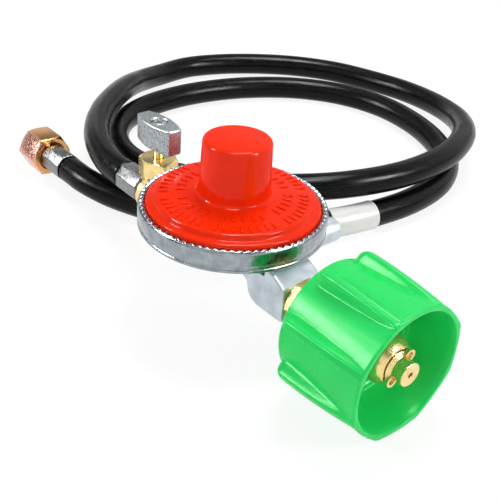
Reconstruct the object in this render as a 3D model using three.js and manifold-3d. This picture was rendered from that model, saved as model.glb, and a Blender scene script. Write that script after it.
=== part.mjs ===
// A propane regulator with its hose: a lever regulator under a red bonnet, a ribbed
// green handwheel nut on a brass nipple, a quarter-turn valve, and a rubber hose that
// lies in two loops and ends in a swivel flare nut.
// Millimetres, +Z up. The inlet points along +X; the floor is the lowest plane.

import * as THREE from 'three';
import { mergeVertices } from 'three/addons/utils/BufferGeometryUtils.js';
import Module from 'manifold-3d';

const wasm = await Module();
wasm.setup();

// ---------------------------------------------------------------- driving sizes

const GAP = 0.3;                  // clearance between pieces that touch
const RUN = 0.35;                 // running clearance of pieces that turn or slide

// lines that the pieces share
const INLET_HEIGHT = 26.3;        // inlet and outlet axis above the floor

// body casting and the crimped rim that holds the bonnet
const BODY_RADIUS = 37;
const ROUND = 32;                 // facets of the large round pieces
const HUB_BASE = 21.2;            // underside of the hub
const HUB_RADIUS = 9;
const BAND_BOTTOM = 38.5;         // start of the upright band
const LEDGE = 42.4;               // seat of the diaphragm
const RIM_WALL = 1.6;             // casting wall folded over the flange
const RIM_LIP = 1.1;              // thickness of the folded lip
const LIP_REACH = 2.8;            // how far the lip covers the flange
const WELL_RADIUS = 11.5;
const WELL_FLOOR = 22.6;
const WELL_FLOOR_RADIUS = 8.6;    // the well narrows towards its floor
const WELL_TAPER = 3;             // height of that narrowing
const BOWL_RADIUS = 31.5;

// bonnet
const FLANGE_THICKNESS = 2.4;
const STEP_RISE = 2.1;            // rounded step above the crimped rim
const PLATEAU_RADIUS = 30.4;
const PLATEAU_RISE = 2.4;
const CROWN = 1.1;                // doming of the plateau
const TOWER_RADIUS = 13.2;        // near the top
const TOWER_DRAFT = 0.8;          // extra radius at the foot
const TOWER_TOP = 74.4;
const BONNET_WALL = 2.2;

// diaphragm, spring and lever
const DIAPHRAGM_THICKNESS = 0.8;
const PLATE_RADIUS = 19;
const PLATE_THICKNESS = 1.2;
const POST_RADIUS = 3.2;
const POST_EYE_WALL = 1.65;       // post below its eye
const POST_FLANGE_RADIUS = 9;
const POST_NUT_HEX = 9;
const RANGE_SPRING_RADIUS = 8.4;
const RANGE_SPRING_WIRE = 2.2;
const RANGE_SPRING_TURNS = 5;
const LEVER_PIVOT_X = -7.4;
const LEVER_PIVOT_RISE = 7.4;     // pivot above the inlet axis
const LEVER_WIDTH = 3.2;
const LEVER_THICKNESS = 1.4;
const LEVER_PLAY = 0.65;          // the lever rocks in its slots as it turns
const LEVER_TIP_REACH = 1.5;      // past the middle of the post
const LEVER_PIN_RADIUS = 1.1;
const DISC_RADIUS = 3.4;
const DISC_LENGTH = 19.6;         // from the lever slot to the seat
const DISC_LIFT = 1.1;            // open gap between seat and nozzle
const SEAT_THICKNESS = 1.2;
const ORIFICE_RADIUS = 3.9;
const ORIFICE_LENGTH = 12;
const NOZZLE_RADIUS = 2.2;
const NOZZLE_LENGTH = 3;
const NOZZLE_BORE = 1.1;

// inlet boss, nipple and nose
const BOSS_FACE = 41.8;
const BOSS_WIDTH = 19;
const BOSS_TOP = 34.4;
const BOSS_BASE = 18.6;
const BOSS_REAR = 22.2;           // foot of the boss towards the bowl
const PIPE_THREAD_RADIUS = 6.4;
const PIPE_THREAD_LENGTH = 10;
const NIPPLE_HEX = 17;
const NIPPLE_HEX_LENGTH = 6;
const NECK_RADIUS = 6.4;
const BULB_RADIUS = 9.3;
const BULB_START = 60.2;
const BULB_END = 89.2;
const GAS_BORE = 2.5;
const CHAMBER_RADIUS = 5.2;
const CHAMBER_START = 70;
const PISTON_LENGTH = 4;          // of the flange that guides the piston
const PISTON_NOSE = 2.9;
const PISTON_LIFT = 1.9;          // open gap at the piston's nose
const FLOW_SPRING_RADIUS = 3.9;
const FLOW_SPRING_WIRE = 0.8;
const FLOW_SPRING_TURNS = 4;
const NOSE_RADIUS = 4.6;
const NOSE_END = 95.3;
const NOSE_HOLE = 1.1;
const NOSE_THREAD = 8;
const PORT_RADIUS = 1.5;
const PORT_RIM = 2.5;
const PORT_OFFSET = 5.2;
const PORT_ANGLE = 46;            // degrees round the inlet axis from +Y
const PORT_DEPTH = 0.7;           // of the machined crescents

// handwheel nut
const NUT_REAR = 55;
const NUT_FRONT = 94.7;
const NUT_REAR_RADIUS = 23.6;
const NUT_RIM_RADIUS = 25.6;
const NUT_WALL = 1.9;             // wall of the open skirt
const RIB_COUNT = 8;
const RIB_RADIUS = 27.85;         // rib crests near the rear
const RIB_START = 57.6;           // rounded rear end of a rib
const RIB_PEAK = 61.6;            // where a rib stands tallest
const RIB_HALF_ANGLE = 8.5;       // degrees, at the foot of a rib
const RIB_CREST = 3.2;            // degrees, at its top
const RIM_CORNER = 0.9;           // corners that the ribs leave on the rim
const ACME_RADIUS = 17.1;
const ACME_DEPTH = 1.1;
const ACME_PITCH = 5.08;
const ACME_TURNS = 2.6;
const ACME_STEPS = 12;            // facets in a turn of the thread
const COLLAR_FRONT = 77;
const NUT_REAR_WALL = 3;
const BUSHING_FLANGE = 12.6;
const BUSHING_FLANGE_THICKNESS = 2;

// pressure tapping
const TAP_X = 12;
const TAP_RADIUS = 5.3;
const TAP_FACE = 45.5;
const TAP_HEIGHT = 26.8;
const TAP_PLUG_RADIUS = 3.4;
const TAP_PLUG_LENGTH = 7;

// valve
const OUTLET_FACE = 38.6;         // outlet boss, measured towards -X
const OUTLET_RADIUS = 9.4;
const VALVE_X = -50.4;
const VALVE_RADIUS = 7.6;
const VALVE_END = -57;
const CAVITY_RADIUS = 5.7;
const BALL_RADIUS = 3.9;
const BALL_BORE = 2.2;
const BALL_ROOM = 0.9;            // between the ball and the ends of its cavity
const BALL_SEAT = 1.7;            // length of one seat ring
const NECK_OUTER = 6.2;
const NECK_ENGAGEMENT = 3.2;      // how far the neck reaches into the bonnet nut
const PACKING_RADIUS = 4;
const STEM_RADIUS = 2.1;
const BONNET_NUT_HEX = 15;
const BONNET_NUT_BASE = 36.6;
const BONNET_NUT_TOP = 45.6;
const BONNET_NUT_TURN = 10;       // degrees, as it was tightened
const LEVER_BASE = 50.9;
const LEVER_TOP = 62.1;
const LEVER_LENGTH = 23.5;
const LEVER_BELLY = 11;           // widest part of the wing lever
const LEVER_TIP = 5.9;            // width of its cut ends
const SCREW_HEAD = 3.1;
const SCREW_SHANK = 1.1;

// hose and fittings
const HOSE_RADIUS = 6.65;
const HOSE_SIDES = 8;
const HOSE_STEPS = 66;
const FERRULE_RADIUS = 7.2;
const FERRULE_LENGTH = 15.2;
const FERRULE_FLATS = 8;
const FERRULE_PLATE = 1.3;        // front shoulder of a ferrule
const CRIMPED_RADIUS = 5.8;       // hose wall squeezed inside a ferrule
const BARB_RADIUS = 3.3;
const BARB_RIDGE = 0.25;
const BARB_BORE = 2.2;
const ADAPTER_HEX = 13;
const ADAPTER_HEX_LENGTH = 1.3;
const LABEL_RADIUS = 7.4;
const LABEL_THICKNESS = 0.5;
const LABEL_LENGTH = 24.2;
const LABEL_TO_FERRULE = 138.2;   // along the hose, from the flare ferrule

// flare nut
const FLARE_HEX = 19.05;
const FLARE_NUT_LENGTH = 15.4;
const FLARE_BACK_WALL = 3.4;
const FLARE_THREAD_RADIUS = 7.6;
const FLARE_TAIL_RADIUS = 5.2;
const FLARE_CONE_RADIUS = 7;
const FLARE_Y = -2.3;

// hose centreline from the valve ferrule to the flare ferrule
const HOSE_POINTS = [
  [-74.4, 0, 26.3], [-81, 0, 26.3], [-91, 0.8, 26.3], [-110.5, 7.5, 26], [-129, 18, 25],
  [-146.5, 32, 23.9], [-165.5, 51.5, 21.4], [-185, 73, 16.4], [-201, 93, 10.6], [-210.5, 114, 7.3],
  [-213.5, 137, 6.9], [-208, 159, 6.9], [-196.5, 181.5, 6.9], [-180, 202.5, 6.9], [-159.5, 218.5, 6.9],
  [-136, 228, 7], [-111, 232, 8], [-87, 229, 9.9], [-64, 220, 12.6], [-44, 205, 16.4],
  [-27, 184, 20.2], [-16, 159, 21.6], [-12, 134, 21.8], [-14, 109, 21.6], [-24, 81, 20.7],
  [-42, 60, 18], [-66, 44, 14.5], [-93, 34, 10.5], [-119, 32, 7.6], [-143, 38.5, 6.9],
  [-161, 53, 6.9], [-172, 74, 6.9], [-176, 98, 6.9], [-174, 124, 6.9], [-166, 150, 6.9],
  [-150, 176, 6.9], [-128, 194, 6.9], [-102, 202, 6.9], [-75, 200, 6.9], [-50, 191, 6.9],
  [-28, 175, 6.9], [-14, 152, 6.9], [-9, 126, 6.9], [-10, 100, 6.9], [-15, 75, 6.9],
  [-27, 50, 6.9], [-45, 30.5, 6.9], [-68, 15, 6.9], [-92, 3.2, 7.7], [-108, -1.8, 9.3],
  [-116, -2.3, 9.6], [-122.6, -2.3, 9.6],
];

// ---------------------------------------------------------------- finishes

const finish = (color, roughness, metalness) =>
  new THREE.MeshStandardMaterial({ color, roughness, metalness });
const RED_PAINT = finish(0xee2c16, 0.25, 0.1);
const ZINC = finish(0xc4c9cc, 0.4, 0.9);
const BRASS = finish(0xd8b04e, 0.25, 1);
const STEEL = finish(0xb9bcbe, 0.35, 1);
const GREEN_PLASTIC = finish(0x2fd366, 0.4, 0);
const BLACK_PLASTIC = finish(0x202224, 0.5, 0);
const RUBBER = finish(0x141516, 0.45, 0);
const PTFE = finish(0xf0efe8, 0.5, 0);
const CHROMATE = finish(0xc99a52, 0.3, 1);
const LABEL_WHITE = finish(0xf4f4f2, 0.6, 0);

// ---------------------------------------------------------------- geometry helpers

// merges shared corners, drops empty triangles and turns the faces outwards
function closed(geometry) {
  const bare = geometry.clone();
  for (const name of ['normal', 'uv']) bare.deleteAttribute(name);
  const merged = mergeVertices(bare, 1e-4);
  const at = merged.getAttribute('position');
  const corner = (i) => new THREE.Vector3().fromBufferAttribute(at, i);
  const kept = [];
  let volume = 0;
  for (let i = 0; i < merged.index.count; i += 3) {
    const [a, b, c] = [0, 1, 2].map((k) => merged.index.getX(i + k));
    if (a === b || b === c || c === a) continue;
    kept.push(a, b, c);
    volume += corner(a).dot(corner(b).cross(corner(c)));
  }
  merged.setIndex(volume > 0 ? kept : kept.reverse());
  return merged;
}

function solid(geometry) {
  const shape = closed(geometry);
  return new wasm.Manifold(new wasm.Mesh({
    numProp: 3,
    vertProperties: new Float32Array(shape.getAttribute('position').array),
    triVerts: new Uint32Array(shape.index.array),
  }));
}

function surface(manifold) {
  const mesh = manifold.getMesh();
  const geometry = new THREE.BufferGeometry();
  geometry.setAttribute('position', new THREE.BufferAttribute(mesh.vertProperties, 3));
  geometry.setIndex(new THREE.BufferAttribute(mesh.triVerts, 1));
  return geometry;
}

const join = (...all) => surface(all.map(solid).reduce((a, b) => a.add(b)));
const cut = (whole, ...tools) =>
  surface(tools.map(solid).reduce((a, b) => a.subtract(b), solid(whole)));

// a profile of [radius, height] pairs turned about Z
function turned(profile, segments = 20) {
  const points = profile.map(([r, z]) => new THREE.Vector2(r, z));
  return closed(new THREE.LatheGeometry(points, segments).rotateX(Math.PI / 2));
}

const alongX = (geometry, y = 0, z = INLET_HEIGHT) =>
  geometry.rotateY(Math.PI / 2).translate(0, y, z);

// a profile of [radius, x] pairs turned about the inlet axis
const turnedX = (profile, segments = 20, y = 0, z = INLET_HEIGHT) =>
  alongX(turned(profile, segments), y, z);

const ring = (inner, outer, from, to) =>
  [[inner, from], [outer, from], [outer, to], [inner, to], [inner, from]];
const rod = (radius, from, to) => [[0, from], [radius, from], [radius, to], [0, to]];

const rodX = (radius, from, to, segments = 16, y = 0, z = INLET_HEIGHT) =>
  turnedX(rod(radius, from, to), segments, y, z);

function box(x0, x1, y0, y1, z0, z1) {
  return new THREE.BoxGeometry(x1 - x0, y1 - y0, z1 - z0)
    .translate((x0 + x1) / 2, (y0 + y1) / 2, (z0 + z1) / 2);
}

// a polygon prism along Z with chamfered corners, as a hexagon nut is turned
function prism(sides, acrossFlats, from, to, chamfer, turn = 0) {
  const corner = acrossFlats / 2 / Math.cos(Math.PI / sides);
  const body = new THREE.CylinderGeometry(corner, corner, to - from, sides)
    .rotateX(Math.PI / 2).rotateZ(turn).translate(0, 0, (from + to) / 2);
  const round = acrossFlats / 2 + chamfer * 0.2;
  const bevelled = turned([
    [0, from], [round, from], [corner + 0.1, from + chamfer],
    [corner + 0.1, to - chamfer], [round, to], [0, to],
  ], sides * 2);
  return surface(solid(body).intersect(solid(bevelled)));
}

// ring section swept along a curve
function tube(curve, outer, inner, sides, steps) {
  const section = new THREE.Shape();
  const polygon = (path, radius) => {
    for (let i = 0; i < sides; i += 1) {
      const a = (i / sides) * Math.PI * 2;
      const [x, y] = [radius * Math.cos(a), radius * Math.sin(a)];
      if (i) path.lineTo(x, y);
      else path.moveTo(x, y);
    }
    path.closePath();
    return path;
  };
  polygon(section, outer);
  if (inner) section.holes.push(polygon(new THREE.Path(), inner));
  return closed(new THREE.ExtrudeGeometry(section, { steps, extrudePath: curve }));
}

// a round wire wound about Z, its ends lying flat on the seats
function spring(radius, wire, turns, from, to, stepsPerTurn = 10) {
  const points = [];
  const steps = Math.round(turns * stepsPerTurn);
  const rise = to - from - wire;
  for (let i = 0; i <= steps; i += 1) {
    const share = i / steps;
    const angle = share * turns * Math.PI * 2;
    const climb = Math.min(1, Math.max(0, (share * turns - 0.5) / (turns - 1)));
    points.push(new THREE.Vector3(
      radius * Math.cos(angle), radius * Math.sin(angle), from + wire / 2 + rise * climb,
    ));
  }
  const curve = new THREE.CatmullRomCurve3(points);
  return tube(curve, wire / 2, 0, 5, steps);
}

const group = new THREE.Group();
const cord = new THREE.Group();

function add(name, geometry, material, parent = group) {
  const mesh = new THREE.Mesh(closed(geometry), material);
  mesh.name = name;
  parent.add(mesh);
}

// ---------------------------------------------------------------- regulator body

const flangeBase = LEDGE + DIAPHRAGM_THICKNESS + 2 * GAP;
const flangeTop = flangeBase + FLANGE_THICKNESS;
const lipBase = flangeTop + GAP;
const rimTop = lipBase + RIM_LIP;
const rimInner = BODY_RADIUS - RIM_WALL;
const lipInner = BODY_RADIUS - LIP_REACH;
const threadBore = PIPE_THREAD_RADIUS + GAP;
const slotHalf = LEVER_THICKNESS / 2 + LEVER_PLAY;

function bodyCasting() {
  const bowl = turned([
    [0, HUB_BASE], [HUB_RADIUS, HUB_BASE], [BODY_RADIUS - 9, BAND_BOTTOM - 4.9],
    [BODY_RADIUS - 2.8, BAND_BOTTOM - 1.3], [BODY_RADIUS, BAND_BOTTOM],
    [BODY_RADIUS, rimTop - 0.6], [BODY_RADIUS - 0.5, rimTop],
    [lipInner, rimTop], [lipInner, lipBase], [rimInner, lipBase], [rimInner, LEDGE],
    [BOWL_RADIUS, LEDGE], [BOWL_RADIUS - 1, LEDGE - 3],
    [WELL_RADIUS + 6, LEDGE - 7], [WELL_RADIUS, LEDGE - 8.6], [WELL_RADIUS, WELL_FLOOR + WELL_TAPER],
    [WELL_FLOOR_RADIUS, WELL_FLOOR], [0, WELL_FLOOR],
  ], ROUND);
  const well = turned([
    [0, WELL_FLOOR], [WELL_FLOOR_RADIUS, WELL_FLOOR], [WELL_RADIUS, WELL_FLOOR + WELL_TAPER],
    [WELL_RADIUS, LEDGE - 7], [0, LEDGE - 7],
  ], ROUND);
  const ridge = rodX(INLET_HEIGHT - HUB_BASE, -WELL_RADIUS - 2, BOSS_REAR + 4);
  const inletBoss = bossBlock();
  const outletBoss = rodX(OUTLET_RADIUS, -OUTLET_FACE, -WELL_RADIUS - 1);
  const tapBoss = rodX(TAP_RADIUS, WELL_RADIUS + 1, TAP_FACE, 20, 0, TAP_HEIGHT)
    .rotateZ(Math.PI / 2).translate(TAP_X, 0, 0);
  const seatPost = (side) => box(
    -WELL_RADIUS - 1.5, LEVER_PIVOT_X + 2.4,
    side * (LEVER_WIDTH / 2 + RUN) - (side < 0 ? 1.8 : 0),
    side * (LEVER_WIDTH / 2 + RUN) + (side > 0 ? 1.8 : 0),
    INLET_HEIGHT + DISC_RADIUS + 1, INLET_HEIGHT + LEVER_PIVOT_RISE + 2.6,
  );
  const pinHole = rodX(LEVER_PIN_RADIUS + 0.25, -6, 6, 16, 0, 0).rotateZ(Math.PI / 2)
    .translate(LEVER_PIVOT_X, 0, INLET_HEIGHT + LEVER_PIVOT_RISE);
  const bored = cut(
    join(bowl, ridge, inletBoss, outletBoss, tapBoss), well,
    rodX(DISC_RADIUS + RUN, LEVER_PIVOT_X - slotHalf - 2, WELL_RADIUS + 2, 20),
    rodX(threadBore, BOSS_FACE - PIPE_THREAD_LENGTH - GAP, BOSS_FACE + 1),
    rodX(ORIFICE_RADIUS + GAP, 0, BOSS_FACE),
    rodX(threadBore, -OUTLET_FACE - 1, GAP - OUTLET_FACE + PIPE_THREAD_LENGTH),
    rodX(GAS_BORE, -OUTLET_FACE, 0),
    rodX(TAP_PLUG_RADIUS + GAP, TAP_FACE - TAP_PLUG_LENGTH - GAP, TAP_FACE + 1, 20, 0, TAP_HEIGHT)
      .rotateZ(Math.PI / 2).translate(TAP_X, 0, 0),
  );
  return cut(join(bored, seatPost(1), seatPost(-1)), pinHole);
}

// the square inlet boss, rounded where it leaves the bowl, its top sloping down to the face
function bossBlock() {
  const root = WELL_RADIUS - 2;
  const outline = new THREE.Shape([
    [root, BOSS_BASE + 9.9], [BOSS_REAR - 6.2, BOSS_BASE + 9.9], [BOSS_REAR - 1.2, BOSS_BASE + 7.8],
    [BOSS_REAR, BOSS_BASE + 3.4], [BOSS_REAR + 2.3, BOSS_BASE + 1], [BOSS_REAR + 5.3, BOSS_BASE],
    [BOSS_FACE - 0.8, BOSS_BASE], [BOSS_FACE, BOSS_BASE + 0.8],
    [BOSS_FACE, BOSS_TOP - 1.6], [BODY_RADIUS + 1, BOSS_TOP + 0.6],
    [BODY_RADIUS - 2, BAND_BOTTOM - 2], [root, BAND_BOTTOM - 2],
  ].map(([x, z]) => new THREE.Vector2(x, z)));
  const bevel = 0.8;
  const depth = BOSS_WIDTH - 2 * bevel;
  const block = new THREE.ExtrudeGeometry(outline, {
    depth, bevelEnabled: true, bevelSize: bevel, bevelOffset: -bevel,
    bevelThickness: bevel, bevelSegments: 1,
  });
  const pocket = turned(rod(BODY_RADIUS - 5, LEDGE - 9, LEDGE));
  return cut(block.rotateX(Math.PI / 2).translate(0, depth / 2, 0), pocket);
}

function tapPlug() {
  const plug = rod(TAP_PLUG_RADIUS, TAP_FACE - TAP_PLUG_LENGTH, TAP_FACE - 0.6);
  const socket = prism(6, 3.4, TAP_FACE - 4, TAP_FACE + 1, 0.1);
  return cut(turned(plug, 20), socket).rotateX(-Math.PI / 2).translate(TAP_X, 0, TAP_HEIGHT);
}

add('body_casting', bodyCasting(), ZINC);
add('tap_plug', tapPlug(), STEEL);

// ---------------------------------------------------------------- bonnet and spring

const stepTop = flangeTop + STEP_RISE;
const plateauTop = stepTop + PLATEAU_RISE;
const stepRadius = lipInner - GAP;
const towerFoot = TOWER_RADIUS + TOWER_DRAFT;
const springRoof = TOWER_TOP - BONNET_WALL - 0.4;

function bonnet() {
  return turned([
    [rimInner - GAP, flangeBase], [rimInner - GAP, flangeTop], [stepRadius, flangeTop],
    [stepRadius, stepTop - 0.9], [stepRadius - 0.9, stepTop], [PLATEAU_RADIUS + 0.9, stepTop + 0.3],
    [PLATEAU_RADIUS + 0.4, plateauTop - 0.6], [PLATEAU_RADIUS - 0.4, plateauTop],
    [(PLATEAU_RADIUS + towerFoot) / 2, plateauTop + CROWN * 0.7], [towerFoot + 3.6, plateauTop + CROWN],
    [towerFoot + 1.2, plateauTop + CROWN + 0.9], [towerFoot, plateauTop + CROWN + 3.4],
    [TOWER_RADIUS, TOWER_TOP - 2], [TOWER_RADIUS - 0.5, TOWER_TOP - 0.7],
    [TOWER_RADIUS - 1.6, TOWER_TOP - 0.1], [0, TOWER_TOP],
    [0, springRoof], [TOWER_RADIUS - BONNET_WALL - 0.6, springRoof],
    [towerFoot - BONNET_WALL, plateauTop + 2], [towerFoot + 1, plateauTop + CROWN - BONNET_WALL],
    [PLATEAU_RADIUS - 2, plateauTop - BONNET_WALL], [BOWL_RADIUS - 1.2, flangeBase + 1.4],
    [BOWL_RADIUS, flangeBase], [rimInner - GAP, flangeBase],
  ], ROUND);
}

const diaphragmBase = LEDGE + GAP;
const diaphragmTop = diaphragmBase + DIAPHRAGM_THICKNESS;
const plateBase = diaphragmTop + GAP;
const plateTop = plateBase + PLATE_THICKNESS;
const springSeat = plateTop + 1.4;

add('bonnet', bonnet(), RED_PAINT);
add('diaphragm', turned(
  ring(POST_RADIUS + GAP, rimInner - GAP, diaphragmBase, diaphragmTop), ROUND), RUBBER);
add('diaphragm_plate', turned([
  [POST_RADIUS + GAP, plateBase], [PLATE_RADIUS, plateBase], [PLATE_RADIUS, plateTop + 0.8],
  [PLATE_RADIUS - 1, plateTop + 0.8], [PLATE_RADIUS - 1, plateTop],
  [POST_RADIUS + GAP, plateTop], [POST_RADIUS + GAP, plateBase],
], 24), STEEL);
add('spring_button', turned([
  [0, springRoof - GAP - 1.6], [RANGE_SPRING_RADIUS + 1, springRoof - GAP - 1.6],
  [RANGE_SPRING_RADIUS + 1, springRoof - GAP], [0, springRoof - GAP],
], 24), STEEL);
add('range_spring', spring(
  RANGE_SPRING_RADIUS, RANGE_SPRING_WIRE, RANGE_SPRING_TURNS,
  plateTop + GAP, springRoof - 2 * GAP - 1.6,
), STEEL);

// ---------------------------------------------------------------- post, lever and disc

const leverHeight = INLET_HEIGHT + LEVER_PIVOT_RISE;
const postFloor = leverHeight - slotHalf - POST_EYE_WALL;

function pusherPost() {
  const stem = turned([
    [0, postFloor], [POST_RADIUS, postFloor], [POST_RADIUS, diaphragmBase - GAP - 1.6],
    [POST_FLANGE_RADIUS, diaphragmBase - GAP - 1.6], [POST_FLANGE_RADIUS, diaphragmBase - GAP],
    [POST_RADIUS, diaphragmBase - GAP], [POST_RADIUS, plateTop + 2.6], [0, plateTop + 2.6],
  ], 24);
  const eye = box(-POST_RADIUS - 1, LEVER_TIP_REACH + RUN, -LEVER_WIDTH / 2 - RUN, LEVER_WIDTH / 2 + RUN,
    leverHeight - slotHalf, leverHeight + slotHalf);
  return cut(stem, eye);
}

// a bell crank: the long arm lies in the post's eye, the short one in the disc holder
function leverArm() {
  const half = LEVER_THICKNESS / 2;
  const outline = new THREE.Shape([
    [LEVER_TIP_REACH, leverHeight - half], [LEVER_TIP_REACH, leverHeight + half],
    [LEVER_PIVOT_X + 3, leverHeight + half], [LEVER_PIVOT_X + 1, leverHeight + 2.1],
    [LEVER_PIVOT_X - 1, leverHeight + 2.1], [LEVER_PIVOT_X - 2.1, leverHeight + 0.8],
    [LEVER_PIVOT_X - 2.1, leverHeight - 1], [LEVER_PIVOT_X - half, leverHeight - 2.6],
    [LEVER_PIVOT_X - half, INLET_HEIGHT - 0.6], [LEVER_PIVOT_X + half, INLET_HEIGHT - 0.6],
    [LEVER_PIVOT_X + half, leverHeight - 2.4], [LEVER_PIVOT_X + 2.4, leverHeight - half],
  ].map(([x, z]) => new THREE.Vector2(x, z)));
  const plate = new THREE.ExtrudeGeometry(outline, { depth: LEVER_WIDTH, bevelEnabled: false });
  const hole = rodX(LEVER_PIN_RADIUS + RUN, -4, 4, 16, 0, 0).rotateZ(Math.PI / 2)
    .translate(LEVER_PIVOT_X, 0, leverHeight);
  return cut(plate.rotateX(Math.PI / 2).translate(0, LEVER_WIDTH / 2, 0), hole);
}

function leverPin() {
  const half = LEVER_WIDTH / 2 + RUN + 1.8;
  return rodX(LEVER_PIN_RADIUS, -half, half, 16, 0, 0).rotateZ(Math.PI / 2)
    .translate(LEVER_PIVOT_X, 0, leverHeight);
}

const seatFace = LEVER_PIVOT_X + DISC_LENGTH;
const seatFront = seatFace + SEAT_THICKNESS - 1 + GAP;
const nozzleTip = seatFront + DISC_LIFT;

function discHolder() {
  const start = LEVER_PIVOT_X - slotHalf - 1.1;
  const holder = turnedX([
    [0, start], [DISC_RADIUS, start], [DISC_RADIUS, seatFace], [DISC_RADIUS - 0.9, seatFace],
    [DISC_RADIUS - 0.9, seatFace - 1], [0, seatFace - 1],
  ], 20);
  const slot = box(LEVER_PIVOT_X - slotHalf, LEVER_PIVOT_X + slotHalf,
    -LEVER_WIDTH / 2 - RUN, LEVER_WIDTH / 2 + RUN,
    INLET_HEIGHT - 0.6 - RUN, INLET_HEIGHT + DISC_RADIUS + 1);
  return cut(holder, slot);
}

function inletOrifice() {
  const nozzleBase = nozzleTip + NOZZLE_LENGTH;
  return turnedX([
    [NOZZLE_BORE, nozzleTip], [NOZZLE_RADIUS - 0.8, nozzleTip], [NOZZLE_RADIUS, nozzleTip + 1.2],
    [NOZZLE_RADIUS, nozzleBase], [ORIFICE_RADIUS, nozzleBase],
    [ORIFICE_RADIUS, nozzleBase + ORIFICE_LENGTH], [NOZZLE_BORE, nozzleBase + ORIFICE_LENGTH],
    [NOZZLE_BORE, nozzleTip],
  ], 20);
}

add('pusher_post', pusherPost(), BRASS);
add('post_nut', cut(
  prism(6, POST_NUT_HEX, plateTop + GAP, springSeat + 1, 0.5),
  turned(rod(POST_RADIUS + GAP, plateTop - 1, springSeat + 2), 20),
), STEEL);
add('lever_arm', leverArm(), STEEL);
add('lever_pin', leverPin(), STEEL);
add('disc_holder', discHolder(), BRASS);
add('seat_disc', rodX(DISC_RADIUS - 0.9 - GAP, seatFace - 1 + GAP, seatFront, 16), RUBBER);
add('inlet_orifice', inletOrifice(), BRASS);

// ---------------------------------------------------------------- inlet nipple and nose

const hexStart = BOSS_FACE + GAP;
const hexEnd = hexStart + NIPPLE_HEX_LENGTH;
const noseThreadRadius = CHAMBER_RADIUS - GAP;
const noseBase = BULB_END + GAP;

function inletNipple() {
  const turnedBody = turnedX([
    [GAS_BORE, BOSS_FACE - PIPE_THREAD_LENGTH], [PIPE_THREAD_RADIUS - 0.6, BOSS_FACE - PIPE_THREAD_LENGTH],
    [PIPE_THREAD_RADIUS, BOSS_FACE - PIPE_THREAD_LENGTH + 1], [PIPE_THREAD_RADIUS, hexStart],
    [NECK_RADIUS, hexEnd], [NECK_RADIUS, BULB_START], [BULB_RADIUS - 0.8, BULB_START],
    [BULB_RADIUS, BULB_START + 0.8], [BULB_RADIUS, BULB_END - 4.4], [BULB_RADIUS - 0.7, BULB_END - 2.2],
    [BULB_RADIUS - 2.2, BULB_END], [CHAMBER_RADIUS, BULB_END], [CHAMBER_RADIUS, CHAMBER_START],
    [GAS_BORE, CHAMBER_START], [GAS_BORE, BOSS_FACE - PIPE_THREAD_LENGTH],
  ], 20);
  const hexagon = alongX(cut(
    prism(6, NIPPLE_HEX, hexStart, hexEnd, 0.8),
    turned(rod(NECK_RADIUS - 1, hexStart - 1, hexEnd + 1), 12),
  ));
  return join(turnedBody, hexagon);
}

function nippleNose() {
  const bodyPart = turnedX([
    [0, BULB_END - NOSE_THREAD], [noseThreadRadius, BULB_END - NOSE_THREAD],
    [noseThreadRadius, noseBase], [NOSE_RADIUS + 1.6, noseBase], [NOSE_RADIUS + 0.4, noseBase + 1],
    [NOSE_RADIUS, noseBase + 1.2], [NOSE_RADIUS, NOSE_END - 0.5], [NOSE_RADIUS - 0.4, NOSE_END],
    [0, NOSE_END],
  ], 20);
  const port = (side, radius, from, to) => {
    const angle = THREE.MathUtils.degToRad(PORT_ANGLE) + (side < 0 ? Math.PI : 0);
    return rodX(radius, from, to, 10, PORT_OFFSET * Math.cos(angle),
      INLET_HEIGHT + PORT_OFFSET * Math.sin(angle));
  };
  const rims = [1, -1].map((side) => port(side, PORT_RIM, noseBase, noseBase + 1.6));
  const holes = [1, -1].map((side) => port(side, PORT_RADIUS, noseBase + 1.6 - PORT_DEPTH, noseBase + 2));
  return cut(join(bodyPart, ...rims), ...holes,
    rodX(NOSE_HOLE, BULB_END - NOSE_THREAD - 1, NOSE_END + 1, 12));
}

// the flow limiter: a piston whose nose the spring holds off the narrow bore
const pistonEnd = BULB_END - NOSE_THREAD - GAP;
const pistonFlange = pistonEnd - PISTON_LENGTH;

function flowPiston() {
  const nose = turnedX([
    [0, CHAMBER_START + PISTON_LIFT], [PISTON_NOSE - 0.8, CHAMBER_START + PISTON_LIFT],
    [PISTON_NOSE, CHAMBER_START + PISTON_LIFT + 1], [PISTON_NOSE, pistonEnd], [0, pistonEnd],
  ], 12);
  const across = 2 * (CHAMBER_RADIUS - RUN) * Math.cos(Math.PI / 6);
  return join(nose, alongX(prism(6, across, pistonFlange, pistonEnd, 0.3)));
}

add('inlet_nipple', inletNipple(), BRASS);
add('nipple_nose', nippleNose(), BRASS);
add('flow_piston', flowPiston(), STEEL);
add('flow_spring', alongX(spring(
  FLOW_SPRING_RADIUS, FLOW_SPRING_WIRE, FLOW_SPRING_TURNS, CHAMBER_START + GAP, pistonFlange - GAP, 8,
)), STEEL);
add('thermal_bushing', turnedX([
  [NECK_RADIUS + RUN, NUT_REAR - 2], [BULB_RADIUS + 0.2, NUT_REAR - 2],
  [BULB_RADIUS + 0.2, NUT_REAR + NUT_REAR_WALL + RUN], [BUSHING_FLANGE, NUT_REAR + NUT_REAR_WALL + RUN],
  [BUSHING_FLANGE, NUT_REAR + NUT_REAR_WALL + RUN + BUSHING_FLANGE_THICKNESS - 0.5],
  [BULB_RADIUS, NUT_REAR + NUT_REAR_WALL + RUN + BUSHING_FLANGE_THICKNESS - 0.5],
  [NECK_RADIUS + RUN, NUT_REAR + NUT_REAR_WALL + RUN + BUSHING_FLANGE_THICKNESS - 0.5],
  [NECK_RADIUS + RUN, NUT_REAR - 2],
], 20), BLACK_PLASTIC);

// ---------------------------------------------------------------- handwheel nut

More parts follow.
